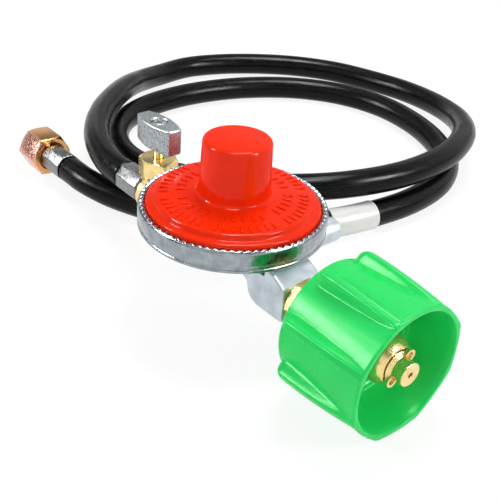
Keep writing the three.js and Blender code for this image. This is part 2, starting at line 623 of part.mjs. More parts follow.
// columns of the nut, close together over a rib and wide apart between ribs
const RIB_COLUMNS = [-15, -RIB_HALF_ANGLE, -RIB_CREST, RIB_CREST, RIB_HALF_ANGLE, 15];
const nutAngles = Array.from({ length: RIB_COUNT }, (_, i) =>
  RIB_COLUMNS.map((off) => THREE.MathUtils.degToRad((360 / RIB_COUNT) * (i + 0.5) + off))).flat();
const smooth = (t) => t * t * (3 - 2 * t);
const clamp01 = (t) => Math.min(1, Math.max(0, t));

// outer radius of the nut at a station along the axis and an angle round it
function nutRadius(x, angle) {
  const along = (x - NUT_REAR) / (NUT_FRONT - NUT_REAR);
  const base = NUT_REAR_RADIUS + (NUT_RIM_RADIUS - NUT_REAR_RADIUS) * along * along;
  const pitch = (Math.PI * 2) / RIB_COUNT;
  const off = Math.abs((((angle % pitch) + pitch) % pitch) - pitch / 2);
  const shoulder = Math.sqrt(1 - (1 - clamp01((x - RIB_START) / (RIB_PEAK - RIB_START))) ** 2);
  const past = clamp01((x - RIB_PEAK) / (NUT_FRONT - RIB_PEAK));
  const crest = RIB_RADIUS - (RIB_RADIUS - NUT_RIM_RADIUS - RIM_CORNER) * past * past;
  const height = (crest - base) * shoulder;
  const flank = (THREE.MathUtils.radToDeg(off) - RIB_CREST) / (RIB_HALF_ANGLE - RIB_CREST);
  const bump = 1 - smooth(clamp01(flank));
  const corner = RIM_CORNER * along * (1 - off / (pitch / 2)) ** 1.5;
  return base + Math.max(height * bump, corner);
}

function handwheelNut() {
  const bore = BULB_RADIUS + 0.2 + RUN;
  const rearWall = NUT_REAR + NUT_REAR_WALL;
  const rise = [0, 0.15, 0.45, 1].map((share) => RIB_START + share * (RIB_PEAK - RIB_START));
  const fall = [0.25, 0.5, 0.75].map((share) => RIB_PEAK + share * (NUT_FRONT - RIB_PEAK));
  const stations = [NUT_REAR + 0.9, ...rise, ...fall, NUT_FRONT - 0.5];
  const rings = [
    () => [NUT_REAR, bore - 1], () => [NUT_REAR, NUT_REAR_RADIUS - 1.4],
    ...stations.map((x) => (angle) => [x, nutRadius(x, angle)]),
    (angle) => [NUT_FRONT, nutRadius(NUT_FRONT, angle) - 0.7], () => [NUT_FRONT, bore - 1],
  ];
  const positions = [];
  for (const at of rings) {
    for (const angle of nutAngles) {
      const [x, r] = at(angle);
      positions.push(x, r * Math.cos(angle), INLET_HEIGHT + r * Math.sin(angle));
    }
  }
  const index = [];
  for (let j = 0; j < rings.length; j += 1) {
    const [here, next] = [j, (j + 1) % rings.length].map((row) => row * nutAngles.length);
    for (let i = 0; i < nutAngles.length; i += 1) {
      const k = (i + 1) % nutAngles.length;
      index.push(here + i, here + k, next + i, here + k, next + k, next + i);
    }
  }
  const outside = new THREE.BufferGeometry();
  outside.setAttribute('position', new THREE.Float32BufferAttribute(positions, 3));
  outside.setIndex(index);
  const hollow = turnedX([
    [0, NUT_FRONT + 1], [NUT_RIM_RADIUS - NUT_WALL + 0.4, NUT_FRONT + 1],
    [NUT_RIM_RADIUS - NUT_WALL - 0.8, NUT_FRONT - 5],
    [NUT_REAR_RADIUS - NUT_WALL - 0.6, COLLAR_FRONT + 4], [NUT_REAR_RADIUS - NUT_WALL - 2, COLLAR_FRONT],
    [ACME_RADIUS + 0.8, COLLAR_FRONT], [ACME_RADIUS, COLLAR_FRONT - 1], [ACME_RADIUS, rearWall],
    [bore, rearWall], [bore, NUT_REAR - 1], [0, NUT_REAR - 1],
  ], ROUND);
  return join(cut(outside, hollow), acmeThread());
}

// the internal thread: a trapezoid ridge wound inside the collar
function acmeThread() {
  const steps = Math.round(ACME_TURNS * ACME_STEPS);
  const start = NUT_REAR + NUT_REAR_WALL + ACME_PITCH / 2 + 0.8;
  const points = Array.from({ length: steps + 1 }, (_, i) => {
    const angle = (i / ACME_STEPS) * Math.PI * 2;
    return new THREE.Vector3(start + (i / ACME_STEPS) * ACME_PITCH,
      (ACME_RADIUS + 0.2) * Math.cos(angle), (ACME_RADIUS + 0.2) * Math.sin(angle));
  });
  const index = [];
  const positions = [];
  for (const [i, p] of points.entries()) {
    const out = new THREE.Vector3(0, p.y, p.z).normalize();
    const crest = -ACME_DEPTH - 0.2;
    for (const [depth, half] of [[0.8, 1.5], [0.8, -1.5], [crest, -0.8], [crest, 0.8]]) {
      positions.push(p.x + half, p.y + out.y * depth, p.z + out.z * depth + INLET_HEIGHT);
    }
    if (i === steps) continue;
    for (let k = 0; k < 4; k += 1) {
      const [a, b] = [i * 4 + k, i * 4 + ((k + 1) % 4)];
      index.push(a, b, a + 4, b, b + 4, a + 4);
    }
  }
  const last = steps * 4;
  index.push(0, 2, 1, 0, 3, 2, last, last + 1, last + 2, last, last + 2, last + 3);
  const ridge = new THREE.BufferGeometry();
  ridge.setAttribute('position', new THREE.Float32BufferAttribute(positions, 3));
  ridge.setIndex(index);
  return ridge;
}

add('handwheel_nut', handwheelNut(), GREEN_PLASTIC);

// ---------------------------------------------------------------- valve

const valveStart = -OUTLET_FACE - GAP;
const cavityStart = VALVE_X + BALL_RADIUS + BALL_ROOM;
const cavityEnd = VALVE_X - BALL_RADIUS - BALL_ROOM;
const neckTop = BONNET_NUT_BASE + NECK_ENGAGEMENT;
const atValve = (geometry) => geometry.translate(VALVE_X, 0, 0);

function valveBody() {
  const barrel = turnedX([
    [0, VALVE_END], [VALVE_RADIUS - 0.4, VALVE_END], [VALVE_RADIUS, VALVE_END + 0.5],
    [VALVE_RADIUS, VALVE_X + 6.4], [VALVE_RADIUS - 1, VALVE_X + 7.6], [VALVE_RADIUS - 1, valveStart - 2.6],
    [VALVE_RADIUS + 0.8, valveStart - 2.2], [VALVE_RADIUS + 0.8, valveStart],
    [PIPE_THREAD_RADIUS, valveStart], [PIPE_THREAD_RADIUS, PIPE_THREAD_LENGTH - OUTLET_FACE - 1],
    [PIPE_THREAD_RADIUS - 0.7, PIPE_THREAD_LENGTH - OUTLET_FACE], [0, PIPE_THREAD_LENGTH - OUTLET_FACE],
  ], 20);
  const neck = atValve(turned(rod(NECK_OUTER, INLET_HEIGHT, neckTop), 16));
  return cut(join(barrel, neck),
    rodX(CAVITY_RADIUS, VALVE_END - 1, cavityStart),
    rodX(GAS_BORE, VALVE_X, 0, 16),
    atValve(turned(rod(STEM_RADIUS + RUN, INLET_HEIGHT, neckTop + 1), 16)),
    atValve(turned(rod(PACKING_RADIUS, neckTop - 4.6, neckTop + 1), 16)));
}

const ballSphere = (radius) =>
  new THREE.SphereGeometry(radius, 16, 10).translate(VALVE_X, 0, INLET_HEIGHT);
const tongueDepth = 1.1;
const tongueHalf = 0.8;

function valveBall() {
  const slot = box(VALVE_X - 6, VALVE_X + 6, -tongueHalf - 0.2, tongueHalf + 0.2,
    INLET_HEIGHT + BALL_RADIUS - tongueDepth - 0.2, INLET_HEIGHT + BALL_RADIUS + 1);
  return cut(ballSphere(BALL_RADIUS), rodX(BALL_BORE, VALVE_X - 6, VALVE_X + 6, 16), slot);
}

const ballSeat = (from, to) =>
  cut(turnedX(ring(BALL_BORE, CAVITY_RADIUS - GAP, from, to), 20), ballSphere(BALL_RADIUS + RUN));

const stemTop = LEVER_TOP - 4.2;

function valveStem() {
  const shaft = turned([
    [0, INLET_HEIGHT + BALL_RADIUS + 0.3], [STEM_RADIUS, INLET_HEIGHT + BALL_RADIUS + 0.3],
    [STEM_RADIUS, stemTop], [0, stemTop],
  ], 16);
  const tongue = box(-1.9, 1.9, -tongueHalf, tongueHalf,
    INLET_HEIGHT + BALL_RADIUS - tongueDepth, INLET_HEIGHT + BALL_RADIUS + 1);
  const screwBore = turned(rod(SCREW_SHANK + GAP, stemTop - 6, stemTop + 1), 12);
  return atValve(cut(join(shaft, tongue), screwBore));
}

function valveBonnetNut() {
  const hexagon = prism(6, BONNET_NUT_HEX, BONNET_NUT_BASE, BONNET_NUT_TOP, 0.9,
    THREE.MathUtils.degToRad(BONNET_NUT_TURN));
  const pocket = turned(rod(NECK_OUTER + GAP, BONNET_NUT_BASE - 1, neckTop + 0.5), 16);
  const hole = turned(rod(STEM_RADIUS + RUN, BONNET_NUT_BASE, BONNET_NUT_TOP + 1), 16);
  const follower = turned(
    ring(STEM_RADIUS + RUN, PACKING_RADIUS - GAP, neckTop - 1.2, neckTop + 1), 16);
  return atValve(join(cut(hexagon, pocket, hole), follower));
}

// the wing lever: a lens between two arcs, its tips cut square
function leverHandle() {
  const half = LEVER_LENGTH / 2;
  const [belly, tip] = [LEVER_BELLY / 2, LEVER_TIP / 2];
  const side = (x) => tip + (belly - tip) * (1 - (x / half) ** 2);
  const stations = [-1, -0.66, -0.33, 0, 0.33, 0.66, 1].map((share) => share * half);
  const outline = new THREE.Shape([
    ...stations.map((x) => new THREE.Vector2(x, -side(x))),
    ...stations.toReversed().map((x) => new THREE.Vector2(x, side(x))),
  ]);
  const bevel = 0.6;
  const wing = new THREE.ExtrudeGeometry(outline, {
    depth: LEVER_TOP - LEVER_BASE - 2 * bevel, bevelEnabled: true, bevelSize: bevel,
    bevelOffset: -bevel, bevelThickness: bevel, bevelSegments: 1,
  }).translate(0, 0, LEVER_BASE + bevel);
  return atValve(cut(wing,
    turned(rod(STEM_RADIUS + GAP, LEVER_BASE - 1, stemTop + GAP), 16),
    turned(rod(SCREW_SHANK + GAP, stemTop, LEVER_TOP), 12),
    turned(rod(SCREW_HEAD + GAP, LEVER_TOP - 2.4, LEVER_TOP + 1), 16)));
}

function handleScrew() {
  const base = LEVER_TOP - 2.4 + GAP;
  const screw = turned([
    [0, stemTop - 5.4], [SCREW_SHANK, stemTop - 5.4], [SCREW_SHANK, base], [SCREW_HEAD, base],
    [SCREW_HEAD, base + 1.1], [SCREW_HEAD * 0.6, base + 1.7], [0, base + 1.8],
  ], 16);
  const arm = box(-1.8, 1.8, -0.35, 0.35, base + 0.7, base + 3);
  return atValve(cut(screw, arm, arm.clone().rotateZ(Math.PI / 2)));
}

add('valve_body', valveBody(), BRASS);
add('valve_ball', valveBall(), STEEL);
add('ball_seat_inner', ballSeat(cavityStart - GAP - BALL_SEAT, cavityStart - GAP), PTFE);
add('ball_seat_outer', ballSeat(cavityEnd + GAP, cavityEnd + GAP + BALL_SEAT), PTFE);
add('valve_stem', valveStem(), BRASS);
add('stem_packing', atValve(turned(
  ring(STEM_RADIUS + RUN, PACKING_RADIUS - GAP, neckTop - 4.6 + GAP, neckTop - 1.2 - GAP), 16)), PTFE);
add('valve_bonnet_nut', valveBonnetNut(), BRASS);
add('lever_handle', leverHandle(), ZINC);
add('handle_screw', handleScrew(), BRASS);

// ---------------------------------------------------------------- hose ends

// a barbed tail that points from `from` towards `to`, with its bore
function barbProfile(from, to) {
  const way = Math.sign(to - from);
  const ridges = 2;
  const step = Math.abs(to - from) / (ridges + 0.5);
  const profile = [[BARB_RADIUS, from]];
  for (let i = 0; i < ridges; i += 1) {
    const x = from + way * step * (i + 0.5);
    profile.push([BARB_RADIUS, x], [BARB_RADIUS + BARB_RIDGE, x + way * 0.3],
      [BARB_RADIUS, x + way * step * 0.8]);
  }
  return [...profile, [BARB_RADIUS - 0.6, to], [BARB_BORE, to]];
}

// an eight-sided crimped ferrule; `shoulder` is its closed end, `mouth` the hose's end
function ferrule(shoulder, mouth, y, z, hole) {
  const [from, to] = [Math.min(shoulder, mouth), Math.max(shoulder, mouth)];
  const way = Math.sign(mouth - shoulder);
  const across = 2 * FERRULE_RADIUS * Math.cos(Math.PI / FERRULE_FLATS);
  const outer = alongX(prism(FERRULE_FLATS, across, from, to, 0.7, Math.PI / FERRULE_FLATS), y, z);
  const bore = [shoulder + way * FERRULE_PLATE, mouth + way].sort((a, b) => a - b);
  return cut(outer, rodX(CRIMPED_RADIUS + GAP, ...bore, 16, y, z), rodX(hole, from - 1, to + 1, 16, y, z));
}

const adapterHexStart = VALVE_END - GAP;
const ferruleShoulder = adapterHexStart - ADAPTER_HEX_LENGTH - GAP;
const ferruleMouth = ferruleShoulder - FERRULE_LENGTH;
const adapterThread = CAVITY_RADIUS - GAP;
const collarRadius = 4.4;

function hoseAdapter() {
  const barbStart = ferruleShoulder - FERRULE_PLATE - GAP;
  const hexBody = alongX(cut(
    prism(6, ADAPTER_HEX, adapterHexStart - ADAPTER_HEX_LENGTH, adapterHexStart, 0.5, Math.PI / 6),
    turned(rod(collarRadius - 0.6, adapterHexStart - 9, adapterHexStart + 1), 20),
  ));
  const tail = turnedX([
    [BARB_BORE, cavityEnd], [adapterThread, cavityEnd], [adapterThread, adapterHexStart],
    [collarRadius, adapterHexStart - ADAPTER_HEX_LENGTH], [collarRadius, barbStart],
    ...barbProfile(barbStart, ferruleMouth + 1), [BARB_BORE, cavityEnd],
  ], 16);
  return join(tail, hexBody);
}

add('hose_adapter', hoseAdapter(), BRASS);
add('ferrule_valve', ferrule(ferruleShoulder, ferruleMouth, 0, INLET_HEIGHT, collarRadius + GAP), STEEL);
add('hose_end_valve', turnedX(ring(BARB_RADIUS + BARB_RIDGE + GAP, CRIMPED_RADIUS,
  ferruleMouth, ferruleShoulder - FERRULE_PLATE - 2 * GAP), 16), RUBBER);

const flareHeight = FLARE_HEX / 2 + 0.1;
const flareMouth = -122.9;
const flareShoulder = flareMouth - FERRULE_LENGTH;
const nutBack = flareShoulder - 1.4;
const nutFront = nutBack - FLARE_NUT_LENGTH;
const coneBack = nutBack - FLARE_BACK_WALL - GAP;

function flareTailpiece() {
  const barbStart = flareShoulder + FERRULE_PLATE + GAP;
  return turnedX([
    [BARB_BORE, coneBack - 6], [BARB_BORE + 0.8, coneBack - 6], [FLARE_CONE_RADIUS, coneBack - 1.8],
    [FLARE_CONE_RADIUS, coneBack], [FLARE_TAIL_RADIUS, coneBack], [FLARE_TAIL_RADIUS, flareShoulder - GAP],
    [collarRadius, flareShoulder - GAP], [collarRadius, barbStart],
    ...barbProfile(barbStart, flareMouth - 1), [BARB_BORE, coneBack - 6],
  ], 16, FLARE_Y, flareHeight);
}

function flareNut() {
  const hexagon = alongX(prism(6, FLARE_HEX, nutFront, nutBack, 1.2), FLARE_Y, flareHeight);
  return cut(hexagon,
    rodX(FLARE_TAIL_RADIUS + RUN, nutFront, nutBack + 1, 24, FLARE_Y, flareHeight),
    rodX(FLARE_THREAD_RADIUS, nutFront - 1, nutBack - FLARE_BACK_WALL, 24, FLARE_Y, flareHeight));
}

add('ferrule_flare', ferrule(
  flareShoulder, flareMouth, FLARE_Y, flareHeight, collarRadius + GAP), STEEL, cord);
add('hose_end_flare', turnedX(ring(BARB_RADIUS + BARB_RIDGE + GAP, CRIMPED_RADIUS,
  flareShoulder + FERRULE_PLATE + 2 * GAP, flareMouth), 16, FLARE_Y, flareHeight), RUBBER, cord);
add('flare_tailpiece', flareTailpiece(), CHROMATE, cord);
add('flare_nut', flareNut(), CHROMATE, cord);

// ---------------------------------------------------------------- hose and label

const hoseCurve = new THREE.CatmullRomCurve3(
  HOSE_POINTS.map(([x, y, z]) => new THREE.Vector3(x, y, z)), false, 'centripetal',
);
hoseCurve.arcLengthDivisions = 800;

// least clear distance between stretches of the hose that are not neighbours
function leastGap(curve, radius) {
  const count = 400;
  const points = curve.getSpacedPoints(count);
  const apart = Math.ceil((count * radius * 6) / curve.getLength());
  let least = Infinity;
  for (let i = 0; i <= count; i += 1) {
    for (let j = i + apart; j <= count; j += 1) {
      least = Math.min(least, points[i].distanceTo(points[j]) - 2 * radius);
    }
  }
  return least;
}

const hoseLength = hoseCurve.getLength();
const labelStart = hoseLength - LABEL_TO_FERRULE - LABEL_LENGTH;
const labelPoints = Array.from({ length: 7 }, (_, i) =>
  hoseCurve.getPointAt((labelStart + (LABEL_LENGTH * i) / 6) / hoseLength));
const labelCurve = new THREE.CatmullRomCurve3(labelPoints);

add('hose', tube(hoseCurve, HOSE_RADIUS, 0, HOSE_SIDES, HOSE_STEPS), RUBBER, cord);
add('label_sleeve', tube(
  labelCurve, LABEL_RADIUS + LABEL_THICKNESS, LABEL_RADIUS, 16, 4), LABEL_WHITE, cord);

console.log(`hose length ${hoseLength.toFixed(1)} mm,`,
  `least gap to itself ${leastGap(hoseCurve, HOSE_RADIUS).toFixed(2)} mm`);

// the origin is under the middle of the hard pieces, on the floor
const bounds = new THREE.Box3().setFromObject(group);
const middle = bounds.getCenter(new THREE.Vector3());
console.log('hard pieces', bounds.min.toArray(), bounds.max.toArray());
const whole = new THREE.Group();
whole.add(group, cord);
whole.position.set(-middle.x, -middle.y, -bounds.min.z);

export default whole;
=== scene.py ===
import math

import bpy
from bpy.props import FloatProperty, FloatVectorProperty, IntProperty, PointerProperty
from bpy.types import Operator, Panel, PropertyGroup
from mathutils import Matrix, Vector


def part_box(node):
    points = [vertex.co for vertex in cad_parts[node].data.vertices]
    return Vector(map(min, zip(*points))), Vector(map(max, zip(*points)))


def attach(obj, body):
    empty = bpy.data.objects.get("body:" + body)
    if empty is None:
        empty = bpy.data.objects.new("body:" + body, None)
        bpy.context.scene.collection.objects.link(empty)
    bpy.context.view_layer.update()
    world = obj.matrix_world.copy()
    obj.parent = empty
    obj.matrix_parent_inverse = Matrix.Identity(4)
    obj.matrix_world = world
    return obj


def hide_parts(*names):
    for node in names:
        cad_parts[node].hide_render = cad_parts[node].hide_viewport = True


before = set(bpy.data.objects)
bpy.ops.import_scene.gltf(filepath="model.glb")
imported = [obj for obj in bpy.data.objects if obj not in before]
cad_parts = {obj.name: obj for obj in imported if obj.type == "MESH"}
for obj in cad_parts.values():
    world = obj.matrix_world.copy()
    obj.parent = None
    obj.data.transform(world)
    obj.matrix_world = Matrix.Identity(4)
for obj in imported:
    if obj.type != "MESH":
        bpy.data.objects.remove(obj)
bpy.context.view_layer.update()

bl_info = {
    "name": "Gas Regulator With Hose",
    "version": (1, 0, 0),
    "blender": (4, 5, 0),
    "location": "View3D > Sidebar > Regulator",
    "description": "Models the casting, bonnet, hand nut, valve and hose of a gas regulator",
    "category": "Mesh",
}

# ---------------------------------------------------------------- places, read from the frame

INLET = 26.3            # mm, height of the inlet and outlet axis above the castings' own zero
_low, _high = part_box("bonnet")
AXIS = Vector(((_low.x + _high.x) / 2, (_low.y + _high.y) / 2, 0))
_low, _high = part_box("seat_disc")
AXIS.z = (_low.z + _high.z) / 2 - INLET / 1000
INLET_AXIS = (0, 0, INLET)
MERGE = 1e-6            # m, corners closer than this are one
TURNED = 64             # sides of a small turned piece
THREAD_DEPTH = 10.3     # mm, how far the pipe threads of the casting take a fitting
THREAD_RADIUS = 6.7     # mm, of their bores


def mm(x=0.0, y=0.0, z=0.0):
    """A place in metres from millimetres, measured from the regulator's upright axis."""
    return AXIS + Vector((x, y, z)) / 1000


def span(node, axis):
    """Where a CAD node starts and ends along an axis, in millimetres from the upright axis."""
    i = "XYZ".index(axis)
    return [(corner[i] - AXIS[i]) * 1000 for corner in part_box(node)]


def middle(node, axis):
    """The middle of a CAD node along an axis, in the same millimetres."""
    return sum(span(node, axis)) / 2


def centre_of(node, axis="X"):
    """A place on the own axis of a round CAD node that lies along X or Y."""
    return tuple(0 if other == axis else middle(node, other) for other in "XYZ")


def share(value, low, high):
    """How far a value has come from low to high, held between 0 and 1."""
    return min(1.0, max(0.0, (value - low) / (high - low)))


# the hose's centreline from the valve's ferrule to the flare ferrule, in metres
HOSE_POINTS = [mm(*p) for p in (
    (-74.4, 0, 26.3), (-81, 0, 26.3), (-91, 0.8, 26.3), (-110.5, 7.5, 26), (-129, 18, 25),
    (-146.5, 32, 23.9), (-165.5, 51.5, 21.4), (-185, 73, 16.4), (-201, 93, 10.6), (-210.5, 114, 7.3),
    (-213.5, 137, 6.9), (-208, 159, 6.9), (-196.5, 181.5, 6.9), (-180, 202.5, 6.9), (-159.5, 218.5, 6.9),
    (-136, 228, 7), (-111, 232, 8), (-87, 229, 9.9), (-64, 220, 12.6), (-44, 205, 16.4),
    (-27, 184, 20.2), (-16, 159, 21.6), (-12, 134, 21.8), (-14, 109, 21.6), (-24, 81, 20.7),
    (-42, 60, 18), (-66, 44, 14.5), (-93, 34, 10.5), (-119, 32, 7.6), (-143, 38.5, 6.9),
    (-161, 53, 6.9), (-172, 74, 6.9), (-176, 98, 6.9), (-174, 124, 6.9), (-166, 150, 6.9),
    (-150, 176, 6.9), (-128, 194, 6.9), (-102, 202, 6.9), (-75, 200, 6.9), (-50, 191, 6.9),
    (-28, 175, 6.9), (-14, 152, 6.9), (-9, 126, 6.9), (-10, 100, 6.9), (-15, 75, 6.9),
    (-27, 50, 6.9), (-45, 30.5, 6.9), (-68, 15, 6.9), (-92, 3.2, 7.7), (-108, -1.8, 9.3),
    (-116, -2.3, 9.6), (-122.6, -2.3, 9.6),
)]


def linear(code):
    """A colour written as sRGB hex, in Blender's linear light."""
    parts = [int(code[i:i + 2], 16) / 255 for i in (1, 3, 5)]
    return tuple(c / 12.92 if c <= 0.04045 else ((c + 0.055) / 1.055) ** 2.4 for c in parts)


# ---------------------------------------------------------------- properties


def colour(name, description, code):
    """A colour property whose default is an sRGB hex value."""
    return FloatVectorProperty(
        name=name, description=description, subtype="COLOR", size=3, min=0, max=1, default=linear(code))


def length(name, description, millimetres):
    """A length property whose default is given in millimetres."""
    return FloatProperty(
        name=name, description=description, unit="LENGTH", subtype="DISTANCE", min=0,
        default=millimetres / 1000)


class RegulatorColours(PropertyGroup):
    """Base colours of the finishes."""

    zinc: colour("Zinc", "Plated zinc casting", "#AAB2B8")
    paint: colour("Paint", "Enamel of the bonnet", "#EA2C08")
    brass: colour("Brass", "Turned brass", "#FADC98")
    green: colour("Nut", "Moulded nylon of the hand nut", "#1ED260")
    steel: colour("Steel", "Plated steel", "#C3C6C8")
    ferrule: colour("Ferrules", "Drawn steel of the ferrules", "#A9ACAD")
    lever: colour("Lever", "Tumbled casting of the lever", "#BCC2C6")
    rubber: colour("Hose", "Extruded rubber", "#08090A")
    chromate: colour("Chromate", "Yellow chromate plating, gold side", "#D6A066")
    blush: colour("Chromate blush", "Yellow chromate plating, pink side", "#E2A898")
    film: colour("Label", "White film", "#DEDEDA")


class RegulatorSizes(PropertyGroup):
    """Sizes that only the finished surfaces have."""

    hose: length("Hose", "Outer diameter of the hose", 13.1)
    label: length("Label", "Outer diameter of the label's wrap", 14.1)
    label_length: length("Label length", "Along the hose", 24.2)
    label_place: length("Label place", "From the label to the flare end, along the hose", 138.2)
    voxel: length("Casting grain", "Voxel that rounds the casting's inner corners", 0.5)
    teeth: IntProperty(name="Crimp marks", description="Teeth of the crimping tool", default=76, min=8)
    outer_ticks: IntProperty(name="Outer ticks", description="Raised ticks outside", default=54, min=4)
    inner_ticks: IntProperty(name="Inner ticks", description="Raised ticks inside", default=36, min=4)
    ribs: IntProperty(name="Ribs", description="Grip ribs of the hand nut", default=8, min=3)


# ---------------------------------------------------------------- modelling helpers


def clear_selection():
    """Leaves edit mode and deselects everything, the CAD nodes included."""
    if bpy.context.mode != "OBJECT":
        bpy.ops.object.mode_set(mode="OBJECT")
    bpy.ops.object.select_all(action="DESELECT")


def focus(obj, mode="OBJECT"):
    """Makes one object the only selected and active one."""
    clear_selection()
    obj.select_set(True)
    bpy.context.view_layer.objects.active = obj
    bpy.ops.object.mode_set(mode=mode)


def named(name):
    """The primitive that was just added, under its own name."""
    obj = bpy.context.active_object
    obj.name = obj.data.name = name
    return obj


def settle(obj):
    """Moves an object's place, turn and scale into its mesh."""
    focus(obj)
    bpy.ops.object.transform_apply(location=True, rotation=True, scale=True)
    return obj


def open_mesh(obj):
    """Opens a mesh for editing, with all of it selected."""
    focus(obj, "EDIT")
    bpy.ops.mesh.select_all(action="SELECT")


def close_mesh(obj, move=None):
    """Turns the faces outwards, moves the mesh and leaves edit mode."""
    bpy.ops.mesh.select_all(action="SELECT")
    bpy.ops.mesh.normals_make_consistent(inside=False)
    if move:
        bpy.ops.transform.translate(value=move)
    bpy.ops.object.mode_set(mode="OBJECT")
    return obj


def modify(obj, kind, **settings):
    """Adds a modifier with its settings and applies it."""
    modifier = obj.modifiers.new(kind.lower(), kind)
    for key, value in settings.items():
        setattr(modifier, key, value)
    focus(obj)
    bpy.ops.object.modifier_apply(modifier=modifier.name)
    return obj


def trail(name, points):
    """A chain of edges through points, drawn by extruding one vertex, left open and selected."""
    clear_selection()
    bpy.ops.mesh.primitive_plane_add(size=0.001, location=(0, 0, 0))
    obj = named(name)
    open_mesh(obj)
    bpy.ops.mesh.merge(type="CENTER")
    bpy.ops.transform.translate(value=points[0])
    for start, end in zip(points, points[1:]):
        bpy.ops.mesh.extrude_region_move(TRANSFORM_OT_translate={"value": end - start})
    bpy.ops.mesh.select_all(action="SELECT")
    return obj


def rounded(corners, steps=5):
    """Corners (radius, station) or (radius, station, fillet) with the fillets as short arcs."""
    flat = [Vector(c[:2]) for c in corners]
    points = []
    for i, corner in enumerate(corners):
        fillet = corner[2] if len(corner) > 2 else 0
        if not fillet or i in (0, len(corners) - 1):
            points.append(flat[i])
            continue
        before, after = flat[i - 1] - flat[i], flat[i + 1] - flat[i]
        reach = min(fillet, before.length * 0.49, after.length * 0.49)
        a, b = flat[i] + before.normalized() * reach, flat[i] + after.normalized() * reach
        for k in range(steps + 1):
            t = k / steps
            points.append((1 - t) ** 2 * a + 2 * t * (1 - t) * flat[i] + t * t * b)
    return points


def lathe(name, corners, axis="X", centre=INLET_AXIS, steps=96):
    """Turns a profile about an axis through `centre`; radii and stations are in millimetres.

    A profile starts and ends on the axis, or is closed to a ring.
    """
    if corners[0][0]:
        corners = [*corners, corners[0]]
    i, unit = "XYZ".index(axis), Matrix.Identity(3)
    along, out = unit[i], unit[(i + 1) % 3]
    obj = trail(name, [(out * r + along * s) / 1000 for r, s in rounded(corners)])
    bpy.ops.mesh.spin(steps=steps, angle=2 * math.pi, center=(0, 0, 0), axis=along)
    bpy.ops.mesh.select_all(action="SELECT")
    bpy.ops.mesh.remove_doubles(threshold=MERGE)
    return close_mesh(obj, mm(*centre))


def plate(name, outline, thickness, centre, upright=False):
    """A slab with an outline in XY, or in XZ if upright; all in millimetres."""
    if upright:
        flat = [Vector((x, -thickness / 2, z)) / 1000 for x, z in outline]
        rise = Vector((0, thickness / 1000, 0))
    else:
        flat = [Vector((x, y, 0)) / 1000 for x, y in outline]
        rise = Vector((0, 0, thickness / 1000))
    obj = trail(name, flat)
    bpy.ops.mesh.edge_face_add()
    bpy.ops.mesh.extrude_region_move(TRANSFORM_OT_translate={"value": rise})
    return close_mesh(obj, mm(*centre))


def block(name, x, y, z):
    """A box between pairs of stations in millimetres, as a tool for cuts and joins."""
    clear_selection()
    bpy.ops.mesh.primitive_cube_add(size=1)
    obj = named(name)
    obj.matrix_world = Matrix.LocRotScale(
        mm(*[sum(pair) / 2 for pair in (x, y, z)]), None,
        [(pair[1] - pair[0]) / 1000 for pair in (x, y, z)])
    return settle(obj)


def rod(name, radius, start, end, axis="X", centre=INLET_AXIS, sides=64, corner=None):
    """A plain cylinder between two stations in millimetres, a corner of it at the given angle."""
    clear_selection()
    bpy.ops.mesh.primitive_cylinder_add(vertices=sides, radius=radius / 1000, depth=(end - start) / 1000)
    obj, turn = named(name), 0.0
    if corner is not None:
        first = obj.data.vertices[0].co
        turn = math.radians(corner) - math.atan2(first.y, first.x)
    tip = {"X": Matrix.Rotation(math.pi / 2, 4, "Y"), "Y": Matrix.Rotation(-math.pi / 2, 4, "X"),
           "Z": Matrix.Identity(4)}[axis]
    place = Vector(centre)
    place["XYZ".index(axis)] += (start + end) / 2
    obj.matrix_world = Matrix.Translation(mm(*place)) @ tip @ Matrix.Rotation(turn, 4, "Z")
    return settle(obj)


def join(obj, *others):
    """One mesh of several that don't share a surface."""
    clear_selection()
    for item in (obj, *others):
        item.select_set(True)
    bpy.context.view_layer.objects.active = obj
    bpy.ops.object.join()
    return obj


def carve(obj, *tools, operation="DIFFERENCE"):
    """Cuts tools out of an object, or adds them with operation UNION."""
    for tool in tools:
        modify(obj, "BOOLEAN", object=tool, operation=operation, solver="EXACT")
        bpy.data.objects.remove(tool)
    return obj


def soften(obj, width, segments=3, angle=35):
    """Rounds the sharp edges of a piece; the width is in millimetres."""
    return modify(obj, "BEVEL", width=width / 1000, segments=segments, limit_method="ANGLE",
                  angle_limit=math.radians(angle), use_clamp_overlap=True)


def prism(name, sides, across, start, end, axis="X", centre=INLET_AXIS, corner=0.0, chamfer=0.8):
    """A nut's blank: a prism with a corner at the given angle, its ends turned down to a cone."""
    radius = across / 2 / math.cos(math.pi / sides)
    obj = rod(name, radius, start, end, axis, centre, sides, corner)
    if chamfer:
        flat, beyond = across / 2 * 0.97, radius + 0.2
        slope = (radius - flat) * 0.6 + chamfer * 0.2
        cone = lathe(name + "_cone", [(0, start), (flat, start), (beyond, start + slope),
                                      (beyond, end - slope), (flat, end), (0, end)], axis, centre)
        carve(obj, cone, operation="INTERSECT")
    return obj


def thread(name, radius, depth, pitch, turns, start, centre, root=1.5, crest=0.7):
    """A ridge wound inside a bore about the X axis through `centre`, from a trapezoid section."""
    sunk, steps = 0.3, int(64 * turns)
    section = [(-root, sunk), (-crest, -depth), (crest, -depth), (root, sunk)]
    obj = trail(name, [Vector((s, 0, radius + r)) / 1000 for s, r in section])
    bpy.ops.mesh.edge_face_add()
    bpy.ops.mesh.delete(type="ONLY_FACE")
    bpy.ops.object.mode_set(mode="OBJECT")
    modify(obj, "SCREW", axis="X", angle=2 * math.pi * turns, screw_offset=pitch * turns / 1000,
           steps=steps, render_steps=steps, use_merge_vertices=False)
    open_mesh(obj)
    bpy.ops.mesh.fill_holes(sides=4)
    return close_mesh(obj, mm(start, *centre))


